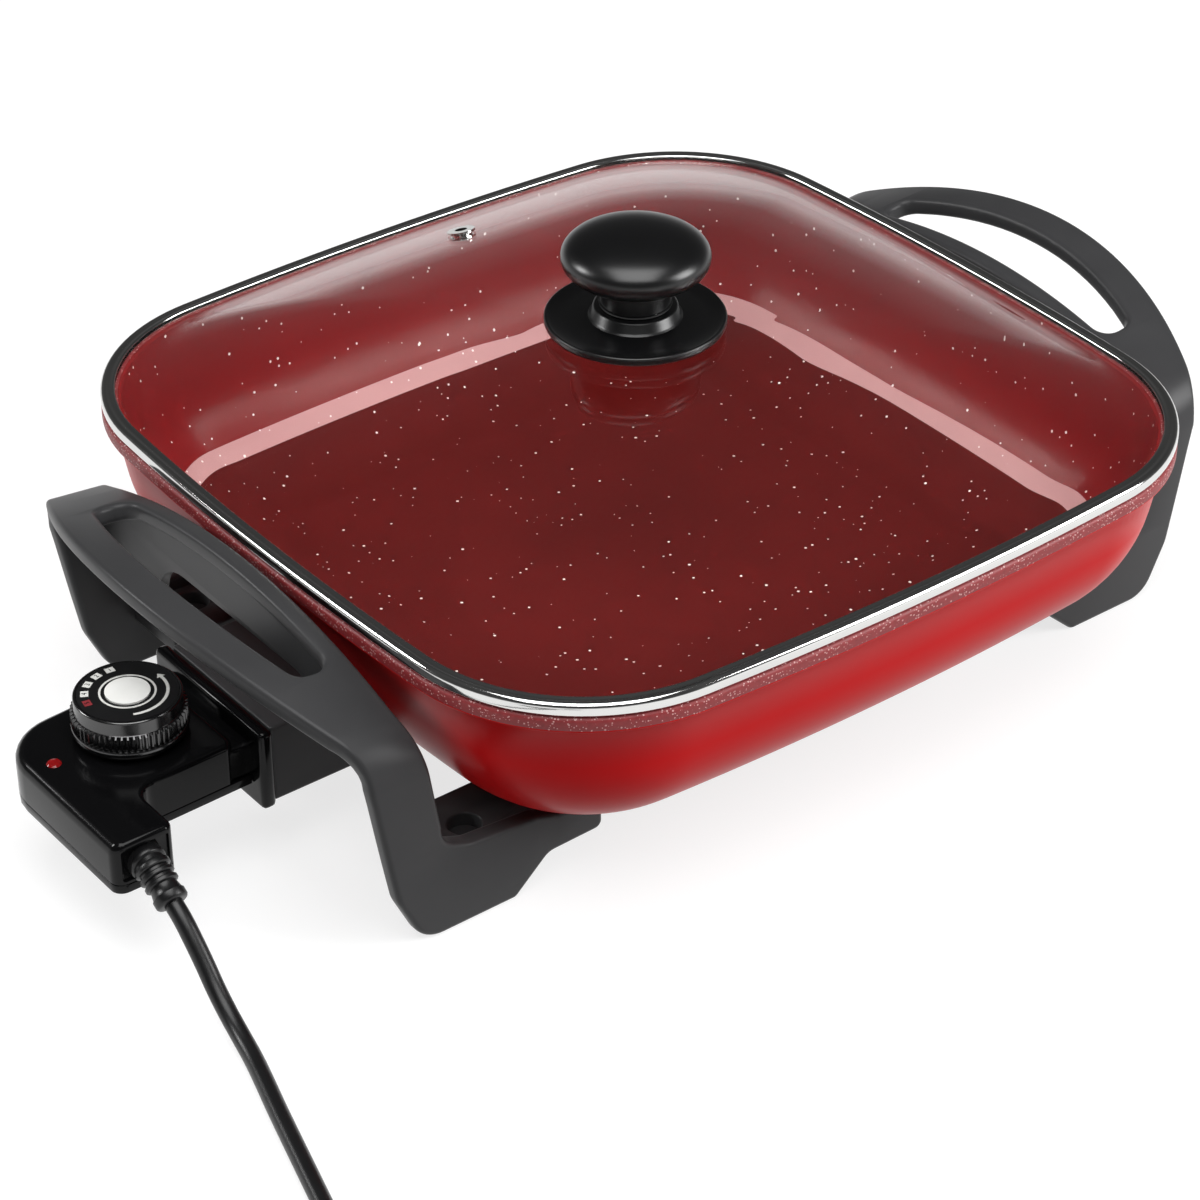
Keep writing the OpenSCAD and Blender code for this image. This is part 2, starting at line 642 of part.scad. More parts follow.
// The same handle is used at both ends
module handle() {
    difference() {
        union() {
            intersection() {
                translate([handle_x, 0, handle_in_top]) rotate([0, -plate_tilt, 0])
                    translate([-arm_reach - sheet_spare, 0, -handle_in_top]) difference() {
                        straight(arm_reach + handle_depth + 2 * sheet_spare)
                            polygon(arch_outline(handle_half, handle_in_top, arch_radius, corner_bend));
                        translate([-1, 0, -1]) straight(arm_reach + handle_depth + 2 * sheet_spare + 2)
                            polygon(arch_outline(handle_half - leg_thickness,
                                handle_in_top - plate_thickness + 1, arch_radius - plate_thickness,
                                corner_bend - leg_thickness));
                    }
                translate([handle_out - handle_curve, 0, -2]) cylinder(r = handle_curve, h = handle_top + 3);
                translate([handle_x, handle_half + 1, 0]) rotate([90, 0, 0]) linear_extrude(handle_span + 2)
                    polygon(rounded(leg_side));
            }
            // Inner wall beside the pan, cut out over the terminal shroud
            translate([handle_x + skirt_set, 0, 0]) straight(skirt_thickness) difference() {
                polygon(arch_outline(handle_half - 1, handle_in_top - 1, arch_radius - 1, corner_bend - 1));
                translate([-handle_half, arch_bottom - 1]) square([handle_span, skirt_bottom - arch_bottom + 1]);
                polygon(rounded([[-skirt_cut_half, 0, 0], [-skirt_cut_half, skirt_cut_top, skirt_cut_bend],
                    [skirt_cut_half, skirt_cut_top, skirt_cut_bend], [skirt_cut_half, 0, 0]]));
            }
            // Ledges under the pan that take the screws
            both_sides() translate([handle_x - arm_reach + 1, handle_half - arm_width,
                arm_floor_top - arm_floor]) cube([arm_reach - ledge_end_in - 1, arm_width - 1, arm_floor]);
        }
        // Finger opening
        translate([0, 0, handle_top - opening_depth]) linear_extrude(opening_depth + 1)
            polygon(rounded(concat(
            [[handle_x + inner_rail, -opening_half, opening_bend]],
            [[opening_end, -opening_half, opening_bend - 1]],
            [for (t = [-0.6, -0.36, -0.12, 0.12, 0.36, 0.6])
                [opening_middle + opening_out * cos(t * opening_turn),
                    opening_out * sin(t * opening_turn), 0]],
            [[opening_end, opening_half, opening_bend - 1]],
            [[handle_x + inner_rail, opening_half, opening_bend]])));
        both_sides() translate([handle_x - arm_screw_in, arm_screw_y, 0])
            ring(handle_screw_d / 2 + clear, 0, 0, arm_floor_top + 1);
        both_sides() translate([handle_x - arm_hole_in, arm_screw_y, 0])
            ring(arm_hole_d / 2, 0, arm_floor_top - arm_floor + 1.2, arm_floor_top + 1);
    }
}

module front_handle() {
    color("#2b2b2c") mirror([1, 0, 0]) handle();
}

module rear_handle() {
    color("#2b2b2c") handle();
}

module handle_screws() {
    color("silver") four_corners() translate([handle_x - arm_screw_in, arm_screw_y, 0])
        screw(handle_screw_d, handle_screw_d * 0.9, head_height, arm_floor_top - arm_floor,
            underside + screw_grip);
}

// Rings of the glass: the flat middle, the dome and the edge held in the rim
function glass_ring(s, z) = [for (q = outline(edge_in)) [q.x * s, q.y * s, z]];

module lid_glass() {
    lower = [for (s = glass_scales) glass_ring(s, glass_low + dome_rise * dome_share(s))];
    upper = [for (i = [len(glass_scales) - 1 : -1 : 0])
        glass_ring(glass_scales[i], glass_top + dome_rise * dome_share(glass_scales[i]))];
    rings = concat(lower, [glass_ring(1, glass_low), glass_ring(1, glass_top)], upper);
    color("lightcyan", 0.4) difference() {
        loft([for (r = rings) each r], len(rings), len(rings[0]));
        ring(knob_screw_d / 2 + 1, 0, crown - glass_thickness - 1, crown + 1);
        at_vent() ring(vent_tube / 2 + clear, 0, -2 * glass_thickness, glass_thickness);
    }
}

module lid_rim() {
    low = rim_bottom + rim_sheet;
    color("silver") difference() {
        translate([0, 0, rim_bottom]) linear_extrude(rim_top - rim_bottom) polygon(outline(0));
        translate([0, 0, low]) linear_extrude(rim_top - rim_sheet - low) polygon(outline(rim_sheet));
        translate([0, 0, rim_bottom - 1]) linear_extrude(rim_top - rim_bottom + 2)
            polygon(outline(rim_width));
    }
}

// The steam vent, square to the glass: Z is out of the glass
module at_vent() {
    translate([vent_side, vent_offset, vent_z]) rotate([-vent_tilt, 0, 0]) children();
}

module vent_eyelet() {
    under = -glass_thickness - clear;
    color("silver") at_vent() difference() {
        union() {
            ring(vent_d / 2, 0, clear, clear + vent_flange);
            ring(vent_tube / 2, 0, under - vent_flange, clear + vent_flange / 2);
            ring(vent_d / 2 - 0.6, 0, under - vent_flange, under);
        }
        ring(vent_hole / 2, 0, under - 2, clear + 2);
    }
}

module knob_gasket() {
    color("#303030") ring(gasket_radius, knob_screw_d / 2 + clear, crown, guard_bottom);
}

module finger_guard() {
    color("#101010") difference() {
        rotate_extrude() polygon([[0, guard_bottom], [guard_radius - 1, guard_bottom],
            [guard_radius, guard_bottom + 1], [guard_radius, guard_top - 1], [guard_radius - 1.5, guard_top],
            [collar_radius + 3, guard_top + 1], [collar_radius, guard_top + 2], [collar_radius, collar_top],
            [0, collar_top]]);
        ring(knob_screw_d / 2 + clear, 0, guard_bottom - 1, collar_top + 1);
    }
}

module lid_knob() {
    middle = knob_top - knob_cap / 2;
    from = -acos(neck_radius / knob_radius);
    color("#101010") difference() {
        rotate_extrude() polygon(concat(
            [[0, collar_top], [neck_radius + 1, collar_top], [neck_radius, collar_top + 2]],
            [for (i = [0 : 16]) let (t = from + (90 - from) * i / 16)
                [i == 16 ? 0 : knob_radius * cos(t), middle + knob_cap / 2 * sin(t)]]));
        ring(knob_screw_d / 2 + fit, 0, collar_top - 1, collar_top + screw_bite + clear);
    }
}

module knob_washer() {
    color("silver") ring(washer_radius, knob_screw_d / 2 + clear, crown - glass_thickness - washer_thickness,
        crown - glass_thickness);
}

module knob_screw() {
    color("silver") screw(knob_screw_d, knob_screw_d * 0.9, head_height,
        crown - glass_thickness - washer_thickness, collar_top + screw_bite);
}

// The probe, as seen with X out from the lip
module probe_plan(d, low, high) {
    translate([0, 0, low]) linear_extrude(high - low) polygon(rounded(inset(housing_plan, d)));
}

module at_posts() {
    for (q = posts) translate([q.x, q.y, 0]) children();
}

module probe_upper_shell() {
    color("#141414") front() difference() {
        union() {
            difference() {
                probe_plan(0, parting, housing_top);
                probe_plan(probe_wall, parting - 1, housing_top - probe_wall);
            }
            slab(flange_out, housing_in, flange_half, shroud_bottom - flange_over, shroud_top + flange_over);
            at_posts() ring(post_r, 0, parting, housing_top - probe_wall / 2);
            translate([dial_out, 0, 0]) {
                ring(pedestal_r, 0, housing_top - probe_wall / 2, housing_top + pedestal_h);
                ring(bush_r, 0, housing_top - bush_drop, housing_top);
            }
        }
        slab(flange_out - 1, housing_in + probe_wall, carrier_half + clear, pin_z - carrier_tall / 2 - clear,
            pin_z + carrier_tall / 2 + clear);
        translate([dial_out, 0, 0]) ring(shaft_r + fit, 0, housing_bottom, dial_top);
        translate([lamp_out, lamp_y, 0]) ring(lens_r + clear / 3, 0, housing_bottom, dial_top);
        at_posts() ring(post_bore + fit, 0, parting - 1, parting + post_grip + clear);
        translate([cord_out, -cord_arm_reach - 1, cord_z]) rotate([-90, 0, 0])
            cylinder(r = boot_neck_r + clear / 3, h = probe_wall + 2);
    }
}

module probe_lower_shell() {
    lip = probe_wall + clear;
    color("#141414") front() difference() {
        union() {
            probe_plan(0, housing_bottom, parting);
            difference() {
                probe_plan(lip, parting - 1, parting + lip_rise);
                probe_plan(lip + lip_wall, parting - 1, parting + lip_rise + 1);
            }
            translate([frame_post_out[0], 0, 0]) ring(post_r, 0, parting - 1, frame_z);
            translate([frame_post_out[1], 0, 0]) ring(post_r, 0, parting - 1, frame_z);
        }
        slab(flange_out, housing_in + clear, flange_half, housing_bottom - 1, parting + lip_rise + 1);
        slab(flange_out, carrier_out + clear, carrier_half + clear, parting, parting + lip_rise + 1);
        at_posts() {
            ring(post_bore + clear, 0, housing_bottom - 1, parting + lip_rise + 1);
            ring(post_bore * 2.2 + clear, 0, housing_bottom - 1, housing_bottom + head_height / 2 + clear);
        }
    }
}

module probe_screws() {
    color("silver") front() at_posts() screw(2 * post_bore, post_bore * 2.2, head_height / 2,
        housing_bottom + head_height / 2 + clear, parting + post_grip);
}

module contact_carrier() {
    color("#d8d0c0") front() difference() {
        slab(carrier_in, carrier_out, carrier_half, pin_z - carrier_tall / 2, pin_z + carrier_tall / 2);
        both_sides() translate([0, pin_y, pin_z]) rod(carrier_in - 1, carrier_out + 1, sleeve_r + clear / 3);
        translate([0, 0, pin_z]) rod(carrier_in - 1, carrier_out + 1, sensor_r + clear / 3);
    }
}

module contact_sleeves() {
    color("goldenrod") both_sides() front() translate([0, pin_y, pin_z]) difference() {
        rod(sleeve_in, sleeve_out, sleeve_r);
        rod(sleeve_in - 1, pin_tip + 2, pin_d / 2 + fit);
    }
}

module sensor_rod() {
    color("silver") front() translate([0, 0, pin_z]) rod(clear - sensor_end, sensor_back, sensor_r);
}

module thermostat_frame() {
    tab = carrier_out + clear;
    color("darkgray") front() {
        slab(tab, stack_out + 5, frame_half, frame_z, frame_z + frame_sheet);
        slab(tab, tab + frame_sheet, frame_tab_half, frame_z, pin_z + carrier_tall / 2);
    }
}

module blade_stack() {
    color("ivory") front() translate([stack_out, 0, 0]) {
        ring(stack_r, 0, frame_z + frame_sheet, blade_z);
        ring(stack_r, 0, blade_z + blade_sheet, blade_z + blade_sheet + blade_gap);
        ring(stack_r, 0, blade_z + 2 * blade_sheet + blade_gap, blade_z + 2 * blade_sheet + blade_gap + 1.5);
    }
}

module contact_blades() {
    upper = blade_z + blade_sheet + blade_gap;
    color("peru") front() {
        slab(dial_out - blade_tail, stack_out + stack_r, blade_half, blade_z, blade_z + blade_sheet);
        slab(dial_out - blade_tail, stack_out + stack_r, blade_half, upper, upper + blade_sheet);
        translate([dial_out - blade_tail + 2, 0, 0]) {
            ring(1.2, 0, blade_z + blade_sheet / 2, blade_z + blade_sheet + blade_gap / 2 - clear);
            ring(1.2, 0, upper - blade_gap / 2 + clear, upper + blade_sheet / 2);
        }
    }
}

module pilot_lens() {
    color("red") front() translate([lamp_out, lamp_y, 0]) rotate_extrude() polygon([[0, lens_bottom],
        [lens_r, lens_bottom], [lens_r, housing_top], [lens_head, housing_top],
        [lens_head * 0.8, housing_top + 0.5], [lens_head * 0.4, housing_top + 0.8], [0, housing_top + 0.9]]);
}

module neon_lamp() {
    top = lens_bottom - clear;
    color("orange") front() translate([lamp_out, lamp_y, 0]) rotate_extrude() polygon(concat([[0, parting]],
        [[neon_r, parting]], arc([0, top - neon_r], neon_r, 0, 80, 5), [[0, top]]));
}

// Round section of the shaft with a flat for the dial
module flatted(r, flat) {
    intersection() {
        circle(r);
        translate([-2 * r, -2 * r]) square([4 * r, 2 * r + flat]);
    }
}

module dial_shaft() {
    color("silver") front() translate([dial_out, 0, 0]) {
        ring(shaft_r, 0, shaft_bottom, dial_bottom);
        translate([0, 0, dial_bottom]) linear_extrude(dial_height - plate_recess - dial_roof - clear)
            flatted(shaft_r, shaft_flat);
    }
}

module dial_knob() {
    tooth = 360 / dial_ribs;
    color("#101010") front() translate([dial_out, 0, 0]) difference() {
        union() {
            ring(dial_radius - rib_depth - 0.2, 0, dial_bottom, dial_bottom + dial_height * 0.5);
            translate([0, 0, dial_bottom + dial_height * 0.12]) linear_extrude(dial_height * 0.36)
                polygon([for (i = [0 : dial_ribs - 1]) for (k = [0 : 3])
                    let (r = dial_radius - (k < 2 ? 0 : rib_depth), t = tooth * (i + [0, 0.45, 0.55, 0.9][k]))
                    [r * cos(t), r * sin(t)]]);
            ring(dial_barrel_r, 0, dial_bottom + dial_height * 0.4, dial_top);
        }
        ring(dial_plate_r + clear / 2, 0, dial_top - plate_recess, dial_top + 1);
        translate([0, 0, dial_bottom - 1]) linear_extrude(dial_height - plate_recess - dial_roof + 1)
            flatted(shaft_r + fit, shaft_flat + fit);
    }
}

module dial_plate() {
    color("black") front() translate([dial_out, 0, 0])
        ring(dial_plate_r, dial_cap_r + clear / 2, dial_top - plate_recess, dial_top);
}

module dial_cap() {
    color("white") front() translate([dial_out, 0, 0])
        ring(dial_cap_r, 0, dial_top - plate_recess, dial_top + 0.5);
}

// The boot turns down from the end of the cord arm and tapers in ribs
module strain_relief() {
    rib = boot_taper / boot_ribs;
    color("#181818") translate([cord_x, cord_y, cord_z]) rotate(-90) {
        rod(-boot_inside, 1, boot_neck_r);
        translate([0, 0, -boot_bend]) rotate([90, 0, 0]) rotate(90 - boot_droop)
            rotate_extrude(angle = boot_droop) translate([boot_bend, 0]) circle(boot_r);
        translate([boot_bend * sin(boot_droop), 0, boot_bend * (cos(boot_droop) - 1)])
            rotate([0, 90 + boot_droop, 0]) rotate_extrude() polygon(concat([[0, -1], [boot_r - 0.3, -1]],
                [for (i = [0 : boot_ribs - 1]) let (r = boot_r + (boot_tip_r - boot_r) * i / (boot_ribs - 1))
                    each [[r - 0.3, i * rib], [r - 0.3, (i + 0.6) * rib], [r - 1, (i + 0.65) * rib],
                        [r - 1, (i + 0.95) * rib]]],
                [[boot_tip_r - 1, boot_taper], [0, boot_taper]]));
    }
}

module power_cord() {
    color("#161616") tube(cord_route, cord_r, 10);
}

module cord_coil() {
    color("#161616") tube(coil_points, cord_r, 6);
}

module cord_tie() {
    reach = cord_r + clear;
    color("#303030") translate([coil_centre.x, coil_centre.y, 0]) rotate(tie_angle) difference() {
        slab(coil_inner - reach - tie_sheet, coil_outer + reach + tie_sheet, tie_width / 2, 0,
            coil_z + coil_step + reach + tie_sheet);
        slab(coil_inner - reach, coil_outer + reach, tie_width, tie_sheet, coil_z + coil_step + reach);
    }
}

// The plug lies beside the coil: X runs from the cord to the pins
module at_plug() {
    translate(cord_end) rotate(plug_heading) children();
}

module plug_body() {
    half = plug_width / 2;
    color("#161616") at_plug() {
        rotate([0, 90, 0]) cylinder(r1 = cord_r + 1, r2 = plug_neck_r, h = plug_neck);
        translate([plug_neck, 0, -plug_thickness / 2]) linear_extrude(plug_thickness) polygon(rounded([
            [0, plug_neck_r + 2, 2], [plug_length * 0.45, half, 8], [plug_length, half, 3],
            [plug_length, -half, 3], [plug_length * 0.45, -half, 8], [0, -plug_neck_r - 2, 2]]));
    }
}

module plug_pins() {
    end = plug_neck + plug_length;
    color("silver") at_plug() {
        both_sides() translate([0, plug_pitch, 0]) rod(end, end + plug_pin_length, plug_pin_r);
        translate([0, 0, plug_earth]) rod(end, end + plug_pin_length, plug_pin_r);
    }
}

pan();
heating_element();
terminal_insulators();
terminal_pins();
terminal_shroud();
shroud_screws();
front_handle();
rear_handle();
handle_screws();
lid_glass();
lid_rim();
vent_eyelet();
knob_gasket();
finger_guard();
lid_knob();
knob_washer();
knob_screw();
probe_upper_shell();
probe_lower_shell();
probe_screws();
contact_carrier();
contact_sleeves();
sensor_rod();
thermostat_frame();
blade_stack();
contact_blades();
pilot_lens();
neon_lamp();
dial_shaft();
dial_knob();
dial_plate();
dial_cap();
strain_relief();
power_cord();
cord_coil();
cord_tie();
plug_body();
plug_pins();
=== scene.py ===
from math import acos, asin, atan2, copysign, cos, degrees, pi, radians, sin, sqrt, tan

import bmesh
import bpy
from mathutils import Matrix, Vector


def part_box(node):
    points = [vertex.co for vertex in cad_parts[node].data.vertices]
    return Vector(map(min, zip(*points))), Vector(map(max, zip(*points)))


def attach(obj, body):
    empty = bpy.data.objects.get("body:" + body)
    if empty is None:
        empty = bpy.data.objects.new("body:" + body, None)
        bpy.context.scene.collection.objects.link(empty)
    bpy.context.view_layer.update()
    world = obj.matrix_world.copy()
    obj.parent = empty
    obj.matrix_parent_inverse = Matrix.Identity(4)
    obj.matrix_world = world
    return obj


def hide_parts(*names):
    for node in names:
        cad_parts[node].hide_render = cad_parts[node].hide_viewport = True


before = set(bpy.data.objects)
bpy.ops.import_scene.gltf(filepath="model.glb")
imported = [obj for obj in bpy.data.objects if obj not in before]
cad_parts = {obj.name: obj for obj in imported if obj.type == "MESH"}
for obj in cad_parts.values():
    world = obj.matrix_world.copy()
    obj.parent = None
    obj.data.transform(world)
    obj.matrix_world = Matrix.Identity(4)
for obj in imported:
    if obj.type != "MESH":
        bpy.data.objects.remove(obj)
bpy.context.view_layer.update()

scene = bpy.context.scene
scene.view_settings.view_transform = "Standard"
print("frame loaded:", len(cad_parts), "CAD nodes")


# All sizes below are in mm, in the CAD frame
def mm(*values):
    return Vector([v / 1000 for v in values])


def addObject(name, data):
    item = bpy.data.objects.new(name, data)
    scene.collection.objects.link(item)
    return item


def pointAt(item, place, aim):
    item.location = mm(*place)
    item.rotation_euler = (mm(*aim) - mm(*place)).to_track_quat("-Z", "Y").to_euler()


# Camera at the photo's viewing angle
camera = {
    "place": (-618.5, -775.9, 682.7), "aim": (-21.9, -9.3, 26.5), "lens": 104.29, "sensor": 36, "near": 10,
}
cameraData = bpy.data.cameras.new("photoCamera")
cameraData.lens = camera["lens"]
cameraData.sensor_width = camera["sensor"]
cameraData.clip_start = camera["near"] / 1000
scene.camera = addObject("photoCamera", cameraData)
pointAt(scene.camera, camera["place"], camera["aim"])


def setMode(mode):
    bpy.ops.object.mode_set(mode=mode)


def deselectAll():
    if bpy.context.object and bpy.context.object.mode != "OBJECT":
        setMode("OBJECT")
    bpy.ops.object.select_all(action="DESELECT")


def makeActive(piece):
    deselectAll()
    piece.select_set(True)
    bpy.context.view_layer.objects.active = piece


# Operations done in edit mode on the whole mesh
def editAll(piece, *steps):
    makeActive(piece)
    setMode("EDIT")
    bpy.ops.mesh.select_all(action="SELECT")
    for operation, settings in steps:
        operation(**settings)
    setMode("OBJECT")
    return piece


def addModifier(piece, kind, **settings):
    makeActive(piece)
    modifier = piece.modifiers.new(kind.lower(), kind)
    for key, value in settings.items():
        setattr(modifier, key, value)
    bpy.ops.object.modifier_apply(modifier=modifier.name)


def roundEdges(piece, width, segments, degrees, clamp=True):
    addModifier(piece, "BEVEL", width=width / 1000, segments=segments, limit_method="ANGLE",
                angle_limit=radians(degrees), use_clamp_overlap=clamp)


def smoothByAngle(piece, degrees):
    makeActive(piece)
    bpy.ops.object.shade_smooth_by_angle(angle=radians(degrees))
    return piece


def joinPieces(first, *others):
    makeActive(first)
    for piece in others:
        piece.select_set(True)
    bpy.ops.object.join()
    return first


# Doubled points are merged and faces are turned outwards
def turnOut(piece):
    return editAll(piece, (bpy.ops.mesh.remove_doubles, {"threshold": 0.000002}),
                   (bpy.ops.mesh.normals_make_consistent, {"inside": False}))


def nameNew(name):
    piece = bpy.context.object
    piece.name = piece.data.name = name
    return piece


def selectVerts(piece, chosen):
    mesh = bmesh.from_edit_mesh(piece.data)
    for v in mesh.verts:
        v.select = v.index in chosen
    mesh.select_flush_mode()
    bmesh.update_edit_mesh(piece.data)


# A circle is extruded once for each ring and its points are put on it; both ends are closed, or joined
def ringStack(name, rings, loop=False):
    deselectAll()
    count = len(rings[0])
    bpy.ops.mesh.primitive_circle_add(vertices=count, radius=0.05)
    piece = nameNew(name)
    setMode("EDIT")
    bpy.ops.mesh.select_mode(type="VERT")
    mesh = bmesh.from_edit_mesh(piece.data)
    spots = {v.index: v.index for v in mesh.verts}
    for v in mesh.verts:
        v.co = mm(*rings[0][v.index])
    for ring in rings[1:]:
        bpy.ops.mesh.extrude_region_move()
        mesh = bmesh.from_edit_mesh(piece.data)
        mesh.verts.index_update()
        fresh = [v for v in mesh.verts if v.select]
        around = {v: [e.other_vert(v) for e in v.link_edges] for v in fresh}
        before = {v: next(w for w in around[v] if not w.select) for v in fresh}
        spots = {v.index: spots[before[v].index] for v in fresh}
        for v in fresh:
            v.co = mm(*ring[spots[v.index]])
        bmesh.update_edit_mesh(piece.data)
    first, last = set(range(count)), set(spots)
    if loop:
        selectVerts(piece, first | last)
        bpy.ops.mesh.bridge_edge_loops()
    for chosen in () if loop else (first, last):
        selectVerts(piece, chosen)
        bpy.ops.mesh.edge_face_add()
    setMode("OBJECT")
    return turnOut(piece)


# One point is extruded along a profile of (radius, height), then spun about Z
def latheProfile(name, profile, steps=96, closed=False):
    deselectAll()
    bpy.ops.mesh.primitive_plane_add(size=0.01)
    piece = nameNew(name)
    setMode("EDIT")
    bpy.ops.mesh.select_all(action="SELECT")
    bpy.ops.mesh.merge(type="CENTER")
    bpy.ops.transform.translate(value=mm(profile[0][0], 0, profile[0][1]))
    for a, b in zip(profile, profile[1:] + (profile[:1] if closed else [])):
        bpy.ops.mesh.extrude_region_move(TRANSFORM_OT_translate={"value": mm(b[0] - a[0], 0, b[1] - a[1])})
    bpy.ops.mesh.select_all(action="SELECT")
    bpy.ops.mesh.spin(steps=steps, angle=2 * pi, center=(0, 0, 0), axis=(0, 0, 1))
    setMode("OBJECT")
    return turnOut(piece)


def shiftPiece(piece, x, y, z=0):
    return editAll(piece, (bpy.ops.transform.translate, {"value": mm(x, y, z)}))


# A cube is stretched between two corners and its edges are rounded
def roundedBox(name, low, high, width):
    deselectAll()
    bpy.ops.mesh.primitive_cube_add(size=1)
    piece = nameNew(name)
    size = mm(*[b - a for a, b in zip(low, high)])
    middle = mm(*[(a + b) / 2 for a, b in zip(low, high)])
    editAll(piece, (bpy.ops.transform.resize, {"value": size}),
            (bpy.ops.transform.translate, {"value": middle}))
    if width:
        addModifier(piece, "BEVEL", width=width / 1000, segments=3)
    return piece


def cutOrAdd(piece, operation, *tools):
    for tool in tools:
        addModifier(piece, "BOOLEAN", object=tool, operation=operation, solver="EXACT")
        bpy.data.objects.remove(tool)


# A merged copy of a CAD node's shape
def nodeCopy(name, node, flat=0.5):
    piece = addObject(name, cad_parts[node].data.copy())
    piece.data.name = name
    piece.data.materials.clear()
    steps = [(bpy.ops.mesh.remove_doubles, {"threshold": 0.00002})]
    if flat:
        steps.append((bpy.ops.mesh.dissolve_limited, {"angle_limit": radians(flat)}))
    return editAll(piece, *steps)


# Moulded pieces: the copy is remeshed in small cells and smoothed in passes, which rounds every edge;
# then only a share of the faces is kept
def mouldedCopy(name, node, cell, passes, keep):
    piece = nodeCopy(name, node, 0)
    addModifier(piece, "REMESH", mode="VOXEL", voxel_size=cell / 1000)
    addModifier(piece, "SMOOTH", factor=0.5, iterations=passes)
    addModifier(piece, "DECIMATE", ratio=keep)
    makeActive(piece)
    bpy.ops.object.shade_smooth()
    return piece


def finishPiece(piece, body, slotName, material, *nodes):
    if not piece.data.materials:
        piece.data.materials.append(material)
    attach(piece, body)
    if nodes:
        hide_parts(*nodes)


def arc(centre, radius, start, end, steps):
    angles = [radians(start + (end - start) * i / steps) for i in range(steps + 1)]
    return [(centre[0] + radius * cos(t), centre[1] + radius * sin(t)) for t in angles]


# Materials
def linear(hexColour):
    values = [int(hexColour[i:i + 2], 16) / 255 for i in (1, 3, 5)]
    return (*[v / 12.92 if v <= 0.04045 else ((v + 0.055) / 1.055) ** 2.4 for v in values], 1)


def addNode(tree, kind, settings=None, links=None):
    node = tree.nodes.new("ShaderNode" + kind)
    for key, value in (settings or {}).items():
        if isinstance(key, int) or key in node.inputs:
            node.inputs[key].default_value = value
        else:
            setattr(node, key, value)
    for key, source in (links or {}).items():
        tree.links.new(source, node.inputs[key])
    return node


# Numbers are set and sockets are linked
def addMath(tree, operation, *values):
    node = addNode(tree, "Math", {"operation": operation})
    for i, value in enumerate(values):
        if isinstance(value, (int, float)):
            node.inputs[i].default_value = value
        else:
            tree.links.new(value, node.inputs[i])
    return node.outputs[0]


def startMaterial(name, **settings):
    material = bpy.data.materials.new(name)
    material.use_nodes = True
    tree = material.node_tree
    tree.nodes.clear()
    shader = addNode(tree, "BsdfPrincipled", settings)
    addNode(tree, "OutputMaterial", links={"Surface": shader.outputs[0]})
    place = addNode(tree, "TexCoord").outputs["Object"]
    return material, tree, shader, place


# Moulded or cast surface: two tones that drift over a few mm, a fine bump, and gloss that varies a little
def mottled(name, light, dark, patchMm, grainMm, grainDepthMm, grainStrength, gloss, specular=0.5,
            flakes=None, **settings):
    material, tree, shader, place = startMaterial(name, **{"Specular IOR Level": specular, **settings})
    patches = addNode(tree, "TexNoise", {"Scale": 1000 / patchMm, "Detail": 3}, {"Vector": place})
    tones = addNode(tree, "Mix", {"data_type": "RGBA", 6: linear(dark), 7: linear(light)},
                    {0: patches.outputs["Fac"]})
    tree.links.new(tones.outputs[2], shader.inputs["Base Color"])
    shine = addNode(tree, "MapRange", {3: gloss[0], 4: gloss[1]}, {0: patches.outputs["Fac"]})
    tree.links.new(shine.outputs[0], shader.inputs["Roughness"])
    grain = addNode(tree, "TexNoise", {"Scale": 1000 / grainMm, "Detail": 2}, {"Vector": place})
    bump = addNode(tree, "Bump", {"Strength": grainStrength, "Distance": grainDepthMm / 1000},
                   {"Height": grain.outputs["Fac"]})
    tree.links.new(bump.outputs[0], shader.inputs["Normal"])
    if flakes:
        addFlakes(tree, shader, place, *flakes)
    return material


# Pale flakes in a coating: a dot in a share of the cells of a pattern, each of its own size
def addFlakes(tree, shader, place, colour, spacingMm, sizeMm, share):
    cells = addNode(tree, "TexVoronoi", {"Scale": 1000 / spacingMm}, {"Vector": place})
    draw = addNode(tree, "SeparateColor", links={0: cells.outputs["Color"]})
    reach = addNode(tree, "MapRange", {3: 0.2 * sizeMm / spacingMm, 4: sizeMm / spacingMm},
                    {0: draw.outputs[1]})
    inside = addMath(tree, "LESS_THAN", cells.outputs["Distance"], reach.outputs[0])
    chosen = addMath(tree, "LESS_THAN", draw.outputs[0], share)
    flake = addMath(tree, "MULTIPLY", inside, chosen)
    under = shader.inputs["Base Color"].links[0].from_socket
    mixed = addNode(tree, "Mix", {"data_type": "RGBA", 7: linear(colour)}, {0: flake, 6: under})
    tree.links.new(mixed.outputs[2], shader.inputs["Base Color"])


# Porcelain enamel on cast aluminium: deep even red, a soft gloss with a slight orange peel
redEnamel = mottled("redEnamel", "#D2181B", "#C41417", 45, 1.8, 0.03, 0.05, (0.26, 0.32), specular=0.04)
# The lip is where the enamel runs thin over the cast edge: paler, rough, with pale grains
lipEnamel = mottled("thinLipEnamel", "#963034", "#701C1F", 1.4, 0.7, 0.06, 0.5, (0.4, 0.55),
                    flakes=("#C99A98", 0.8, 0.32, 0.7))
# Non-stick coating: a softer red with sparse pale flakes, in three tones of one coating: the pale bevel
# strip is a painted highlight and the darker floor is painted shade
coatings = [mottled(*tones, 30, 1.0, 0.02, 0.04, (0.26, 0.32), 0.12, ("#F0DEDA", 3.2, 0.52, 0.5))
            for tones in (("wallNonStick", "#7C1214", "#701012"), ("bevelNonStick", "#C49090", "#B68082"),
                          ("floorNonStick", "#58100F", "#4C0D0C"))]
# Phenolic: moulded charcoal black, satin, with a very fine grain
phenolic = mottled("phenolicBlack", "#3A3A3B", "#323233", 18, 0.7, 0.03, 0.2, (0.34, 0.42), specular=0.2)
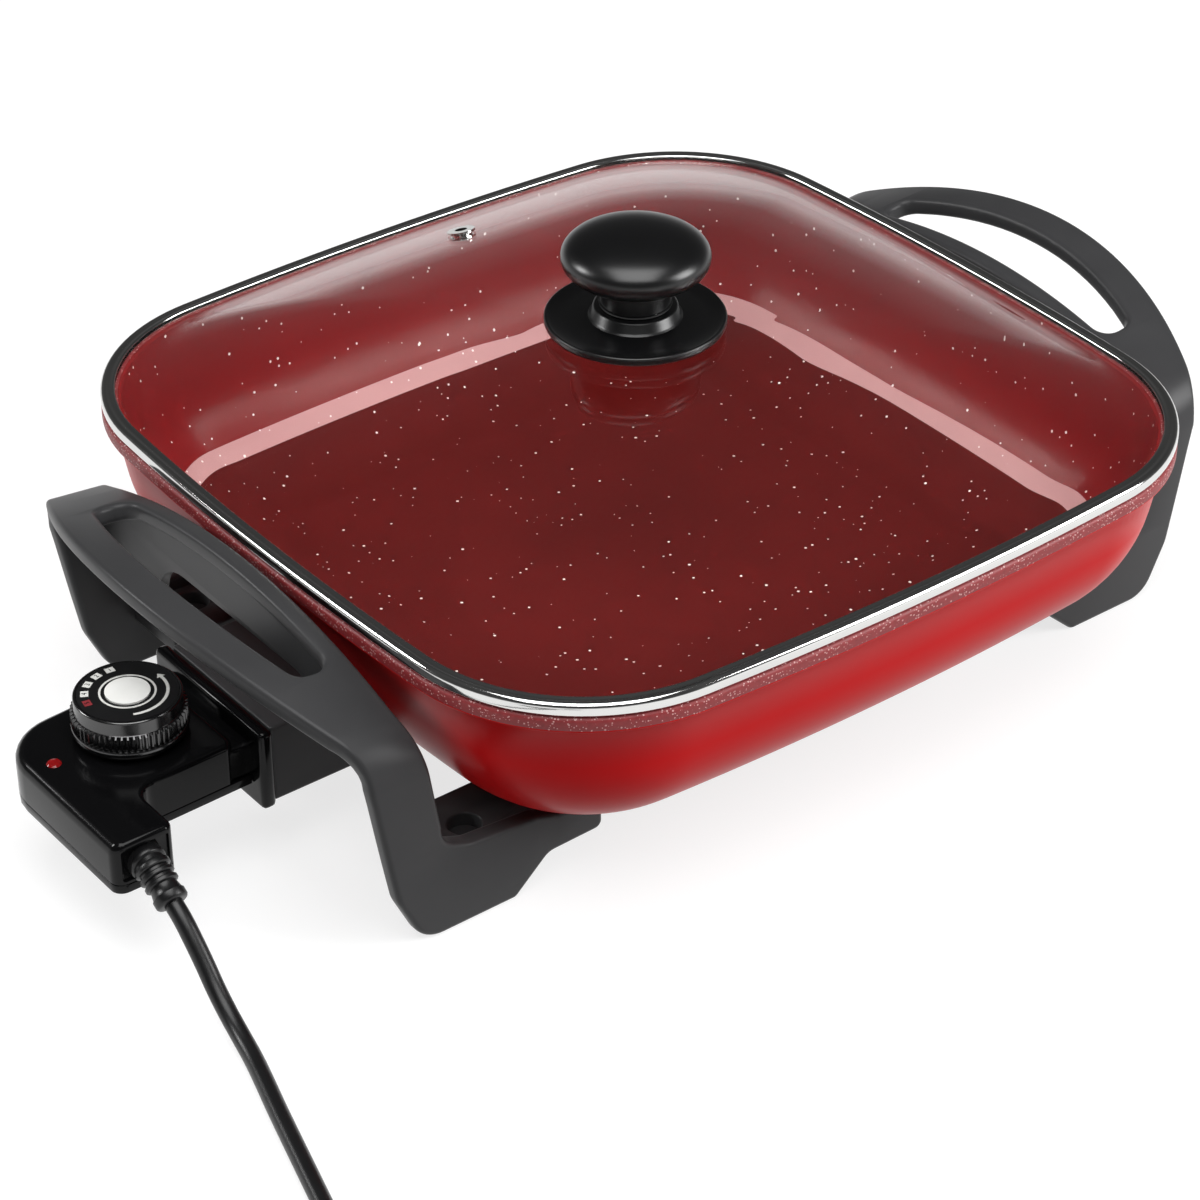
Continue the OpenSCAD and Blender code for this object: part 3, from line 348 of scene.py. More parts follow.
# ABS from a polished tool: deep black, reflections with soft edges
glossBlack = mottled("polishedAbs", "#0B0B0C", "#080809", 25, 2.5, 0.02, 0.03, (0.26, 0.32))
# The same ABS on the probe: smoother, with fainter reflections
satinBlack = mottled("satinAbs", "#0B0B0C", "#080809", 20, 0.6, 0.01, 0.04, (0.13, 0.18), specular=0.18)
# Dial grip: the same ABS, polished on its ribs by use
gripBlack = mottled("gripAbs", "#0B0B0C", "#080809", 12, 1.5, 0.02, 0.03, (0.16, 0.22), specular=1.0)
# PVC cord and boot: dull black with a faint skin
rubberBlack = mottled("cordPvc", "#121213", "#0E0E0F", 10, 0.8, 0.03, 0.2, (0.3, 0.4), specular=0.4)
# Silicone seal: matt dark grey
siliconeGrey = mottled("siliconeSeal", "#202021", "#19191A", 8, 0.8, 0.03, 0.2, (0.55, 0.65))
# Rolled stainless steel, mirror polished: faint waviness bends the reflections
polishedSteel = mottled("polishedStainless", "#DADAD8", "#D0D0CF", 15, 12, 0.03, 0.08, (0.07, 0.12),
                        Metallic=1.0)
# Zinc-plated steel: bluish grey, with a soft crystalline variation
platedSteel = mottled("zincPlate", "#C4C6C6", "#AEB0B1", 3, 0.6, 0.02, 0.12, (0.24, 0.34), Metallic=1.0)
# Sheath of the element: heat-dulled steel with straw and grey stains
sheathSteel = mottled("heatedSheath", "#7A726A", "#57524E", 9, 0.7, 0.03, 0.2, (0.4, 0.55), Metallic=1.0)
# Sensor tube: satin aluminium
satinAluminium = mottled("satinAluminium", "#C8C8C9", "#BABABC", 6, 0.6, 0.02, 0.12, (0.3, 0.4),
                         Metallic=1.0)
# Contacts: half-hard brass sheet, a little tarnished
brassSheet = mottled("brassSheet", "#D2B06A", "#BC9650", 5, 0.6, 0.02, 0.12, (0.25, 0.36), Metallic=1.0)
# Steatite: glazed off-white ceramic
ceramic = mottled("glazedSteatite", "#E6E0D2", "#D8D0BE", 5, 1.0, 0.02, 0.1, (0.24, 0.34))
# Lens: clear red acrylic, darker in its depth
redLens = mottled("redAcrylic", "#A8181A", "#800C0E", 1.6, 0.8, 0.02, 0.08, (0.1, 0.16), **{
    "Transmission Weight": 0.25, "IOR": 1.49})
# Neon lamp: thin glass with an orange cast from its electrodes
lampGlass = mottled("lampGlass", "#F2D2B0", "#E8BE96", 4, 1.0, 0.02, 0.05, (0.05, 0.1), **{
    "Transmission Weight": 0.7})
# Printed dial: matt black ink on a disc, and white screen print
dialBlack = mottled("dialInkBlack", "#121213", "#0D0D0E", 6, 0.5, 0.02, 0.12, (0.34, 0.42))
dialWhite = mottled("dialWhiteAbs", "#EDEDEA", "#E2E2DE", 6, 0.6, 0.02, 0.08, (0.26, 0.34))
printWhite = mottled("screenPrintWhite", "#DADAD6", "#C6C6C2", 1.5, 0.4, 0.01, 0.1, (0.4, 0.5))
printRed = mottled("screenPrintRed", "#8C2C32", "#74242A", 1.5, 0.4, 0.01, 0.1, (0.4, 0.5))


# Tempered soda-lime glass: clear with a trace of green, faint ripple; lamps shine through it onto the pan
ripple = {"spacing": 45, "strength": 0.02, "depth": 0.1}


def makeGlassMaterial():
    material, tree, shader, place = startMaterial("temperedGlass", **{
        "Base Color": linear("#FAFDFC"), "IOR": 1.5, "Transmission Weight": 1.0, "Roughness": 0.0})
    scale, depth = 1000 / ripple["spacing"], ripple["depth"] / 1000
    waves = addNode(tree, "TexNoise", {"Scale": scale, "Detail": 1}, {"Vector": place})
    bump = addNode(tree, "Bump", {"Strength": ripple["strength"], "Distance": depth},
                   {"Height": waves.outputs["Fac"]})
    tree.links.new(bump.outputs[0], shader.inputs["Normal"])
    path = addNode(tree, "LightPath")
    clear = addNode(tree, "BsdfTransparent", {"Color": linear("#F4F8F6")})
    both = addNode(tree, "MixShader",
                   links={0: path.outputs["Is Shadow Ray"], 1: shader.outputs[0], 2: clear.outputs[0]})
    output = next(n for n in tree.nodes if n.type == "OUTPUT_MATERIAL")
    tree.links.new(both.outputs[0], output.inputs["Surface"])
    return material


lidGlass = makeGlassMaterial()
print("materials made")

# Pan: cast shell with a lip, its section as (distance in from the lip, height)
pan = {
    "halfLength": 150, "halfWidth": 146.5, "corner": 66, "bow": 1300, "cornerSteps": 24, "sideSteps": 16,
    "lipTop": 90.5, "lipUnder": 85, "overhang": 3.5, "draft": 10, "roundIn": 55.86, "roundHeight": 76,
    "outerRound": 50, "innerRound": 45.5, "bevelFrom": 220.2, "bevelTo": 229.2, "lipInner": 7.1,
    "lipEdge": 1.2, "lipCrown": 0.4, "neckIn": 0.25, "neckDown": 1.4, "stepIn": 0.5, "stepDown": 3,
    "grainLow": 87.2, "bossX": 100, "bossY": 78, "bossRadius": 7, "bossLow": 24.2, "bossTop": 28,
    "bossEdge": 0.8,
}


# The outline of the lip: four bowed sides and four corners, as (centre, radius, start, sweep)
def lipArcs():
    bowX, bowY = pan["bow"] - pan["halfLength"], pan["bow"] - pan["halfWidth"]
    ratio = bowX / bowY
    shift = (bowX ** 2 - bowY ** 2) / (2 * bowY)
    a, b = 1 + ratio ** 2, 2 * (bowX + ratio * shift)
    c = bowX ** 2 + shift ** 2 - (pan["bow"] - pan["corner"]) ** 2
    x = (-b + sqrt(b * b - 4 * a * c)) / (2 * a)
    y = ratio * x + shift
    turnX, turnY = degrees(atan2(y, x + bowX)), degrees(atan2(x, y + bowY))
    turn = 90 - turnX - turnY
    sides = (((-bowX, 0), 0, turnX), ((0, -bowY), 90, turnY), ((bowX, 0), 180, turnX),
             ((0, bowY), 270, turnY))
    arcs = []
    for (side, way, half), corner in zip(sides, ((x, y), (-x, y), (-x, -y), (x, -y))):
        arcs += [(side, pan["bow"], way - half, 2 * half), (corner, pan["corner"], way + half, turn)]
    return arcs


def lipOutline(inset, height, scale=1, count=None):
    ring = []
    cornerSteps, sideSteps = count or (pan["cornerSteps"], pan["sideSteps"])
    for centre, radius, start, sweep in lipArcs():
        steps = cornerSteps if radius == pan["corner"] else sideSteps
        side = arc(centre, radius - inset, start, start + sweep, steps)[:-1]
        ring += [(x * scale, y * scale, height) for x, y in side]
    return ring


def makePan():
    centre, edge = (pan["roundIn"], pan["roundHeight"]), pan["lipEdge"]
    low, top, over, inner = pan["lipUnder"], pan["lipTop"], pan["overhang"], pan["lipInner"]
    section = arc(centre, pan["outerRound"], 270, 180 + pan["draft"], 18)
    section += [(over + pan["neckIn"], low - pan["neckDown"])]
    section += arc((over - edge, low - edge), edge, 0, 90, 3)
    section += arc((edge, low + edge), edge, 270, 180, 4)[1:]
    crown = edge + pan["lipCrown"]
    section += arc((crown, top - crown), crown, 180, 90, 5)
    section += arc((inner - edge, top - edge), edge, 90, 0, 4)
    section += [(inner + pan["stepIn"], top - edge - pan["stepDown"])]
    section += arc(centre, pan["innerRound"], 180 + pan["draft"], pan["bevelFrom"], 9)
    section += arc(centre, pan["innerRound"], pan["bevelTo"], 270, 9)
    piece = ringStack("skilletPan", [lipOutline(*q) for q in section])
    r, low, top, edge = [pan["boss" + key] for key in ("Radius", "Low", "Top", "Edge")]
    profile = [(0, low), (r - edge, low), (r, low + edge), (r, top), (0, top)]
    for x in (-pan["bossX"], pan["bossX"]):
        for y in (-pan["bossY"], pan["bossY"]):
            cutOrAdd(piece, "UNION", shiftPiece(latheProfile("boss", profile, 32), x, y))
    return smoothByAngle(piece, 50)


skilletPan = makePan()
for finish in (redEnamel, lipEnamel, *coatings):
    skilletPan.data.materials.append(finish)
bevelLow, bevelTop = [pan["roundHeight"] + pan["innerRound"] * sin(radians(pan[end]))
                      for end in ("bevelTo", "bevelFrom")]
floorTop = pan["roundHeight"] - pan["innerRound"]
# Inside faces take the wall, bevel or floor tone by height: the pale bevel band is a painted highlight and
# the darker floor is painted shade; outside faces take the lip band or the enamel
for face in skilletPan.data.polygons:
    z = face.center.z * 1000
    onFloor = abs(z - floorTop) < 0.5 and face.normal.z > 0.5
    inward = face.normal.xy.dot(face.center.xy) < 0 and z > floorTop - 0.5 or onFloor
    level = 2 if z > bevelTop else (3 if z > bevelLow else 4)
    face.material_index = level if inward else (1 if z > pan["grainLow"] else 0)
# The bevel has crisp edges
for edge in skilletPan.data.edges:
    ends = [skilletPan.data.vertices[i].co for i in edge.vertices]
    for height in (bevelLow, bevelTop):
        if all(abs(p.z * 1000 - height) < 0.01 for p in ends):
            edge.use_edge_sharp = True
finishPiece(skilletPan, "base", "pan_enamel", None, "pan")
print("pan made")

# Lid glass: a domed sheet over the same outline
lid = {
    "low": 91.4, "thickness": 3.4, "rise": 26.5, "flat": 0.24, "dome": 0.9522, "edgeIn": 0.9, "hole": 3.5,
    "edgeRound": 1.2, "inmost": 0.1, "outmost": 0.98, "steps": 36, "around": (16, 32),
    "soften": 0.045, "softenMiddle": 0.17, "easeFrom": 0.8, "easeOver": 0.4, "samples": 40,
    "ventX": 10, "ventY": 111, "ventZ": 105.18, "ventTilt": 17.9, "ventHole": 3.7, "ventReach": 9,
    "rimLow": 90.7, "rimTop": 95.5, "rimWidth": 5, "rimSheet": 0.6, "rimRoundLow": 1.6,
    "rimRoundTop": 1.7, "rimRoll": 0.7, "rimGroove": 0.3, "grooveFrom": 2.6, "grooveTo": 3.3,
}


# Height of the dome as a share, eased widely into the flat middle and closely into the edge
def domeShare(s):
    ease = min(max((lid["easeFrom"] - s) / lid["easeOver"], 0), 1)
    reach = lid["soften"] + (lid["softenMiddle"] - lid["soften"]) * ease * ease * (3 - 2 * ease)
    total, count = 0, lid["samples"]
    for i in range(-count, count + 1):
        t = max(min(s + reach * i / count, lid["dome"]), lid["flat"])
        total += (lid["dome"] ** 2 - t * t) / (lid["dome"] ** 2 - lid["flat"] ** 2)
    return total / (2 * count + 1)


def makeGlass():
    first, steps, around = lid["inmost"], lid["steps"], lid["around"]
    scales = [first + (lid["outmost"] - first) * i / steps for i in range(steps + 1)]
    start = lipOutline(lid["edgeIn"], 0, first, around)

    def hole(z):
        ways = [Vector(p[:2]).normalized() * lid["hole"] for p in start]
        return [(w.x, w.y, z) for w in ways]

    inset, rise, low, top = lid["edgeIn"], lid["rise"], lid["low"], lid["low"] + lid["thickness"]
    lower = [hole(low + rise)] + [lipOutline(inset, low + rise * domeShare(s), s, around) for s in scales]
    upper = [lipOutline(inset, top + rise * domeShare(s), s, around) for s in reversed(scales)]
    r = lid["edgeRound"]
    edge = arc((r, low + r), r, 270, 180, 4) + arc((r, top - r), r, 180, 90, 4)
    edge = [lipOutline(inset + q, z, 1, around) for q, z in edge]
    piece = ringStack("lidGlassDome", lower + edge + upper + [hole(top + rise)], loop=True)
    # Finer faces, so that what is seen through the dome stays straight
    addModifier(piece, "SUBSURF", levels=1, render_levels=1)
    # The vent's hole, square to the slope of the dome
    r, end = lid["ventHole"], lid["ventReach"]
    drill = latheProfile("ventDrill", [(0, -end), (r, -end), (r, end), (0, end)], 32)
    turn = {"value": radians(lid["ventTilt"]), "orient_axis": "X", "center_override": (0, 0, 0)}
    editAll(drill, (bpy.ops.transform.rotate, turn),
            (bpy.ops.transform.translate, {"value": mm(lid["ventX"], lid["ventY"], lid["ventZ"])}))
    cutOrAdd(piece, "DIFFERENCE", drill)
    return smoothByAngle(piece, 50)


finishPiece(makeGlass(), "lid", "glass", lidGlass, "lid_glass")


# Rolled band: round outside, its inner edges turned over the glass
def makeRim():
    low, top, width, sheet = lid["rimLow"], lid["rimTop"], lid["rimWidth"], lid["rimSheet"]
    a, b, roll, groove = lid["rimRoundLow"], lid["rimRoundTop"], lid["rimRoll"], top - lid["rimGroove"]
    outer = arc((a, low + a), a, 270, 180, 5) + arc((b, top - b), b, 180, 80, 7)
    outer += [(lid["grooveFrom"], groove), (lid["grooveTo"], groove)]
    outer += arc((width - roll, top - roll), roll, 110, 0, 6)
    inner = [(width - roll, top - roll)] + arc((b, top - b), b - sheet, 80, 180, 6)
    inner += arc((a, low + a), a - sheet, 180, 270, 5) + [(width, low + sheet), (width, low)]
    return smoothByAngle(ringStack("lidRimBand", [lipOutline(*q) for q in outer + inner], loop=True), 50)


finishPiece(makeRim(), "lid", "rim_steel", polishedSteel, "lid_rim")

# Knob and finger guard: the foot and the collar are (radius, height), the dish is (distance in, depth)
knob = {
    "guardLow": 122.3, "guardTop": 125.3, "guardRadius": 30, "guardBore": 2.8, "guardEdge": 1.2,
    "guardRim": 0.7, "dish": [(2.2, 0.8), (7, 0.7), (13, 0.2), (14.4, 0.1)],
    "collarLow": [(15.2, 0.3), (14.9, 0.6)],
    "collarHigh": [(14.0, -0.6), (13.6, -0.2), (13.1, -0.05), (2.8, -0.05)], "collarTop": 129.3,
    "foot": [(11.7, 0.05), (12.0, 0.35), (11.9, 0.8)], "footTop": 1.1, "neck": 11.4,
    "radius": 24.5, "cap": 19.4, "fullness": 0.93, "top": 156.3, "screw": 2.6, "bite": 20.3, "steps": 32,
}


def makeKnob():
    middle = knob["top"] - knob["cap"] / 2
    power = knob["fullness"]
    start = -degrees(acos((knob["neck"] / knob["radius"]) ** (1 / power)))
    head = []
    for i in range(knob["steps"] + 1):
        t = radians(start + (90 - start) * i / knob["steps"])
        rise = copysign(abs(sin(t)) ** power, sin(t))
        head.append((knob["radius"] * max(cos(t), 0) ** power, middle + knob["cap"] / 2 * rise))
    head[-1] = (0, knob["top"])
    base, foot, hole = knob["collarTop"], knob["foot"], knob["screw"]
    profile = [(0, base + knob["bite"]), (hole, base + knob["bite"]), (hole, base + foot[0][1])]
    profile += [(r, base + z) for r, z in foot] + [(knob["neck"], base + knob["footTop"])]
    return smoothByAngle(latheProfile("lidKnobHandle", profile + head), 40)


def makeGuard():
    low, top, r, a, b = [knob["guard" + key] for key in ("Low", "Top", "Radius", "Edge", "Rim")]
    profile = [(knob["guardBore"], low), (r - a, low)] + arc((r - a, low + a), a, 270, 360, 4)[1:]
    profile += arc((r - b, top - b), b, 0, 120, 5) + [(r - d, top - deep) for d, deep in knob["dish"]]
    profile += [(q, top + z) for q, z in knob["collarLow"]]
    profile += [(q, knob["collarTop"] + z) for q, z in knob["collarHigh"]]
    return smoothByAngle(latheProfile("knobFingerGuard", profile, closed=True), 40)


finishPiece(makeKnob(), "lid", "gloss_black", glossBlack, "lid_knob")
finishPiece(makeGuard(), "lid", "gloss_black", glossBlack, "finger_guard")
print("lid made")

# Handles: a sheet with its legs is cut out flat, as (distance along the arch, distance out from the rail),
# and bent; the corners of the legs are (height, distance out, radius)
handle = {
    "rail": 154, "half": 93.5, "top": 93.09, "radius": 235, "bend": 18, "thick": 6.3, "edge": 1.9,
    "tilt": 6, "level": 30, "plan": 195, "planMiddle": -153, "planSteps": 30, "shoulder": 60,
    "legIn": [(40, -7, 0), (34, -7, 7), (30, -17, 12), (28, -42, 6), (25.2, -50, 4), (25.2, -68, 2),
              (12, -68, 3), (11.5, -47, 6), (0, -34, 3)],
    "legOut": [(0, 1, 11), (19, 10, 16), (56, 17, 0)],
    "slotHalf": 58.6, "slotIn": 7, "slotBend": 6.2, "slotPlan": 182, "slotSteps": 10, "slotReach": 5,
    "wallIn": 0.5, "wallOut": 4.5, "wallLow": 50, "cutHalf": 47, "cutTop": 70, "cutBend": 16,
    "wallEdge": 0.8, "wallSteps": 40, "archStrips": 24, "bendStrips": 14, "legStrips": 5, "legStrip": 7,
    "edgeAngle": 60, "ledgeEdge": 1.0, "holeEdge": [(0, -0.6), (0.2, -0.2), (0.8, 0.2)],
    "ledgeIn": -67, "ledgeOut": -8, "ledgeInner": 61.5, "ledgeOuter": 92.5, "ledgeLow": 18, "ledgeTop": 24,
    "holeY": 78, "screwIn": -54, "screwHole": 2.7, "eyeIn": -25.5, "eyeHole": 5.5, "eyeFloor": 1.2,
    "sleeve": (0.55, 3, 0.4),
}
archMiddle = handle["top"] - handle["radius"]
archLean = asin((handle["half"] - handle["bend"]) / (handle["radius"] - handle["bend"]))
bendHeight = archMiddle + (handle["radius"] - handle["bend"]) * cos(archLean)
archEnd = handle["radius"] * archLean
bendEnd = archEnd + handle["bend"] * (pi / 2 - archLean)


# Place and outward direction on the arch, at a distance along it from its middle
def handlePath(s):
    side, a = copysign(1, s), abs(s)
    if a <= archEnd:
        r, t, y, z = handle["radius"], a / handle["radius"], 0, archMiddle
    else:
        r, t = handle["bend"], min(archLean + (a - archEnd) / handle["bend"], pi / 2)
        y, z = handle["half"] - handle["bend"], bendHeight - max(a - bendEnd, 0)
    return side * (y + r * sin(t)), z + r * cos(t), side * sin(t), cos(t)


# Corners given with a radius are turned into arcs
def roundedOutline(corners, steps=8):
    outline, count = [], len(corners)
    for i, (x, y, r) in enumerate(corners):
        p = Vector((x, y))
        u = (Vector(corners[i - 1][:2]) - p).normalized()
        v = (Vector(corners[(i + 1) % count][:2]) - p).normalized()
        half = u.angle(v) / 2
        if not r:
            outline.append((x, y))
            continue
        middle = p + (u + v).normalized() * r / sin(half)
        first, last = p + u * r / tan(half) - middle, p + v * r / tan(half) - middle
        start = degrees(atan2(first.y, first.x))
        sweep = (degrees(atan2(last.y, last.x)) - start + 180) % 360 - 180
        outline += arc(middle, r, start, start + sweep, steps)
    return outline


# How far an edge with this radius in plan is out from the rail
def planOut(s, r):
    return handle["planMiddle"] + sqrt(r ** 2 - handlePath(s)[0] ** 2)


def handleOutline():
    half = [(archEnd, 0, handle["shoulder"])]
    half += [(bendEnd + bendHeight - z, x, r) for z, x, r in handle["legIn"] + handle["legOut"]]
    stations = [bendEnd * (1 - i / handle["planSteps"]) for i in range(handle["planSteps"])]
    half += [(s, planOut(s, handle["plan"]), 0) for s in stations]
    return half + [(0, planOut(0, handle["plan"]), 0)] + [(-s, x, r) for s, x, r in reversed(half)]


def slotOutline():
    end, bend, inner = handle["slotHalf"], handle["slotBend"], handle["slotIn"]
    steps, plan = handle["slotSteps"], handle["slotPlan"]
    outer = [(end * i / steps, planOut(end * i / steps, plan), 0) for i in range(2 - steps, steps - 1)]
    corner = planOut(end, plan)
    last = [(end, corner, bend - 1), (end, inner, bend)]
    return [(-s, x, r) for s, x, r in reversed(last)] + outer + last


def flatPlate(name, outline, low, high):
    return ringStack(name, [[(*p, z) for p in outline] for z in (low, high)])


# The wall beside the pan, cut out over the terminal sleeve
def makeHandleWall():
    low, cut, top = handle["wallLow"], handle["cutHalf"], handle["cutTop"]
    steps = handle["wallSteps"]
    stations = [bendEnd * i / steps for i in range(-steps, steps + 1)]
    over = [(y - ny, z - nz) for y, z, ny, nz in map(handlePath, stations)]
    corners = [(over[0][0], low, 0)] + [(*p, 0) for p in over] + [(over[-1][0], low, 0)]
    bend = handle["cutBend"]
    corners += [(cut, low, 0), (cut, top, bend), (-cut, top, bend), (-cut, low, 0)]
    outline = roundedOutline(corners)
    piece = ringStack("handleWall", [[(handle["rail"] + x, y, z) for y, z in outline]
                                     for x in (handle["wallIn"], handle["wallOut"])])
    roundEdges(piece, handle["wallEdge"], 2, handle["edgeAngle"], False)
    return piece


# A ledge under the pan with the screw's hole and a larger blind eye
def makeLedge(side):
    rail, ends = handle["rail"], sorted((side * handle["ledgeInner"], side * handle["ledgeOuter"]))
    piece = roundedBox("ledge", (rail + handle["ledgeIn"], ends[0], handle["ledgeLow"]),
                       (rail + handle["ledgeOut"], ends[1], handle["ledgeTop"]), handle["ledgeEdge"])
    top = handle["ledgeTop"]
    for x, r, low in ((handle["screwIn"], handle["screwHole"], handle["ledgeLow"] - 1),
                      (handle["eyeIn"], handle["eyeHole"], handle["ledgeLow"] + handle["eyeFloor"])):
        edge = [(r + a, top + b) for a, b in handle["holeEdge"]]
        profile = [(0, low), (r, low)] + edge + [(0, edge[-1][1])]
        drill = shiftPiece(latheProfile("hole", profile, 40), rail + x, side * handle["holeY"])
        cutOrAdd(piece, "DIFFERENCE", drill)
    return piece


def makeHandle():
    thick, reach, tilt = handle["thick"], handle["slotReach"], tan(radians(handle["tilt"]))
    piece = flatPlate("rearHandleLoop", roundedOutline(handleOutline()), -thick, 0)
    slot = flatPlate("slot", roundedOutline(slotOutline()), -thick - reach, reach)
    cutOrAdd(piece, "DIFFERENCE", slot)
    roundEdges(piece, handle["edge"], 4, handle["edgeAngle"], False)
    # Cut across into strips, so that it can bend
    arch, bend, leg = handle["archStrips"], handle["bendStrips"], handle["legStrips"]
    cuts = [archEnd * i / arch for i in range(arch + 1)]
    cuts += [archEnd + (bendEnd - archEnd) * i / bend for i in range(1, bend + 1)]
    cuts += [bendEnd + handle["legStrip"] * i for i in range(1, leg + 1)]
    makeActive(piece)
    setMode("EDIT")
    for s in cuts + [-s for s in cuts[1:]]:
        bpy.ops.mesh.select_all(action="SELECT")
        bpy.ops.mesh.bisect(plane_co=mm(s, 0, 0), plane_no=(1, 0, 0))
    setMode("OBJECT")
    for v in piece.data.vertices:
        s, x, d = v.co * 1000
        y, z, ny, nz = handlePath(s)
        share = min(max((z - handle["level"]) / (bendHeight - handle["level"]), 0), 1)
        v.co = mm(handle["rail"] + x, y + d * ny, z + d * nz + x * tilt * share * share * (3 - 2 * share))
    turnOut(piece)
    cutOrAdd(piece, "UNION", makeHandleWall(), makeLedge(1), makeLedge(-1))
    return smoothByAngle(piece, 40)


# The front handle is the same one turned to the other end
rearHandleLoop = makeHandle()
frontHandleLoop = addObject("frontHandleLoop", rearHandleLoop.data.copy())
editAll(frontHandleLoop, (bpy.ops.transform.resize, {"value": (-1, 1, 1), "center_override": (0, 0, 0)}))
turnOut(frontHandleLoop)
for side, piece in (("front", frontHandleLoop), ("rear", rearHandleLoop)):
    finishPiece(piece, "base", "phenolic", phenolic, side + "_handle")
sleeve = mouldedCopy("terminalSleeve", "terminal_shroud", *handle["sleeve"])
finishPiece(sleeve, "base", "phenolic", phenolic, "terminal_shroud")
print("handles made")

# Probe housing: corners as (distance out from the lip, across, corner radius, rounding of the top edge)
probe = {
    "lip": 150, "parting": 31, "top": 46, "wall": 2.2, "cornerSteps": 8, "leastRound": 0.4,
    "partingEdge": 0.3, "edgeSteps": 7,
    "plan": [(26.6, 25, 4, 1.8), (84.3, 24, 19, 4.2), (84.3, -48, 4, 4.2), (63.3, -48, 3, 1.8),
             (63.3, -26, 7, 1.8), (26.6, -25, 4, 1.8)],
    "neckIn": 20.8, "neckOut": 32, "neckHalf": 24.6, "neckTop": 43.2, "neckEdge": 1.6,
    "flangeIn": 16.3, "flangeOut": 21.3, "flangeHalf": 30.7, "flangeLow": 20, "flangeTop": 49,
    "flangeEdge": 1.7, "dialOut": 48.8, "pedestal": 15, "pedestalTop": 48, "drillLow": 40, "drillTop": 60,
    "panelIn": 65.4, "panelOut": 82.0, "panelLow": 32.2, "panelTop": 43.6, "panelDepth": 0.9,
    "panelEdge": 0.8, "carrierGap": 0.15, "bore": 3.4, "lensOut": 76.3, "lensBore": 2.1,
    "lowerEdge": 0.6, "lowerAngle": 32,
}


# The plan moved in by a distance, each corner rounded in the same number of steps
def probePlan(inset):
    corners, moved = probe["plan"], []
    for i, (x, y, r, edge) in enumerate(corners):
        before, after = corners[i - 1], corners[(i + 1) % len(corners)]
        u = Vector((x - before[0], y - before[1])).normalized()
        v = Vector((after[0] - x, after[1] - y)).normalized()
        first, last = Vector((u.y, -u.x)), Vector((v.y, -v.x))
        step = (first + last) * inset / (1 + first.dot(last))
        r += -inset if u.x * v.y - u.y * v.x < 0 else inset
        moved.append((x + step.x, y + step.y, max(r, probe["leastRound"])))
    return [(-probe["lip"] - a, b) for a, b in roundedOutline(moved, probe["cornerSteps"])]


# A ring of the rounded top edge, whose radius changes along the plan
def edgeRing(turn):
    outer, inner = probePlan(0), probePlan(1)
    steps = probe["cornerSteps"] + 1
    edges = [corner[3] for corner in probe["plan"]]
    ring = []
    for k, (a, b) in enumerate(zip(outer, inner)):
        i, j = divmod(k, steps)
        r = edges[i] if i != 2 else edges[2] + (edges[3] - edges[2]) * j / (steps - 1)
        d, z = r * (1 - cos(turn)), probe["top"] - r * (1 - sin(turn))
        ring.append((a[0] + (b[0] - a[0]) * d, a[1] + (b[1] - a[1]) * d, z))
    return ring


def probeDrill(radius, steps):
    low, top = probe["drillLow"], probe["drillTop"]
    return latheProfile("probeDrill", [(0, low), (radius, low), (radius, top), (0, top)], steps)


def makeUpperShell():
    wall, low, top, lip = probe["wall"], probe["parting"], probe["top"], probe["lip"]
    edge = probe["partingEdge"]
    levels = ((wall, top - wall), (wall, low), (edge, low), (0, low + edge))
    rings = [[(x, y, z) for x, y in probePlan(d)] for d, z in levels]
    rings += [edgeRing(pi / 2 * i / probe["edgeSteps"]) for i in range(probe["edgeSteps"] + 1)]
    piece = ringStack("probeUpperHousing", rings)
    half, neck = probe["flangeHalf"], probe["neckHalf"]
    flange = roundedBox("flange", (-lip - probe["flangeOut"], -half, probe["flangeLow"]),
                        (-lip - probe["flangeIn"], half, probe["flangeTop"]), probe["flangeEdge"])
    throat = roundedBox("throat", (-lip - probe["neckOut"], -neck, low),
                        (-lip - probe["neckIn"] + 2, neck, probe["neckTop"]), probe["neckEdge"])
    r = probe["pedestal"]
    foot = latheProfile("pedestal", [(0, top - 1), (r + 1, top - 1), (r + 0.9, top + 0.2), (r, top + 1.2),
                                     (r - 0.3, probe["pedestalTop"]), (0, probe["pedestalTop"])], 64)
    cutOrAdd(piece, "UNION", throat, flange, shiftPiece(foot, -lip - probe["dialOut"], 0))
    # Openings for the contact block, the dial's shaft and the lamp, and the sunk panel round the cord
    block = [[v * 1000 + side * probe["carrierGap"] for v in p]
             for p, side in zip(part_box("contact_carrier"), (-1, 1))]
    socket = roundedBox("socket", *block, 0)
    bore, eye = [shiftPiece(probeDrill(r, steps), -lip - out, 0) for r, steps, out in
                 ((probe["bore"], 32, probe["dialOut"]), (probe["lensBore"], 24, probe["lensOut"]))]
    arm = probe["plan"][2][1]
    panel = roundedBox(
        "panel", (-lip - probe["panelOut"], arm - 3, probe["panelLow"]),
        (-lip - probe["panelIn"], arm + probe["panelDepth"], probe["panelTop"]), probe["panelEdge"])
    cutOrAdd(piece, "DIFFERENCE", socket, bore, eye, panel)
    return smoothByAngle(piece, 35)


finishPiece(makeUpperShell(), "probe", "gloss_black", satinBlack, "probe_upper_shell")
lowerHousing = nodeCopy("probeLowerHousing", "probe_lower_shell")
roundEdges(lowerHousing, probe["lowerEdge"], 3, probe["lowerAngle"])
smoothByAngle(lowerHousing, 40)
finishPiece(lowerHousing, "probe", "gloss_black", satinBlack, "probe_lower_shell")
print("probe made")

# Dial: a smooth barrel over a ribbed grip and a plain base ring
dial = {
    "x": -198.8, "low": 48.3, "top": 61.0, "ribs": 60, "ribDepth": 0.9, "baseRadius": 18.4,
    "ribRadius": 18.2, "barrel": 17, "topRound": 0.7, "plate": 15.85, "recess": 0.8, "sunk": 0.6,
    "baseTop": 50.9, "gripTop": 56.2,
}


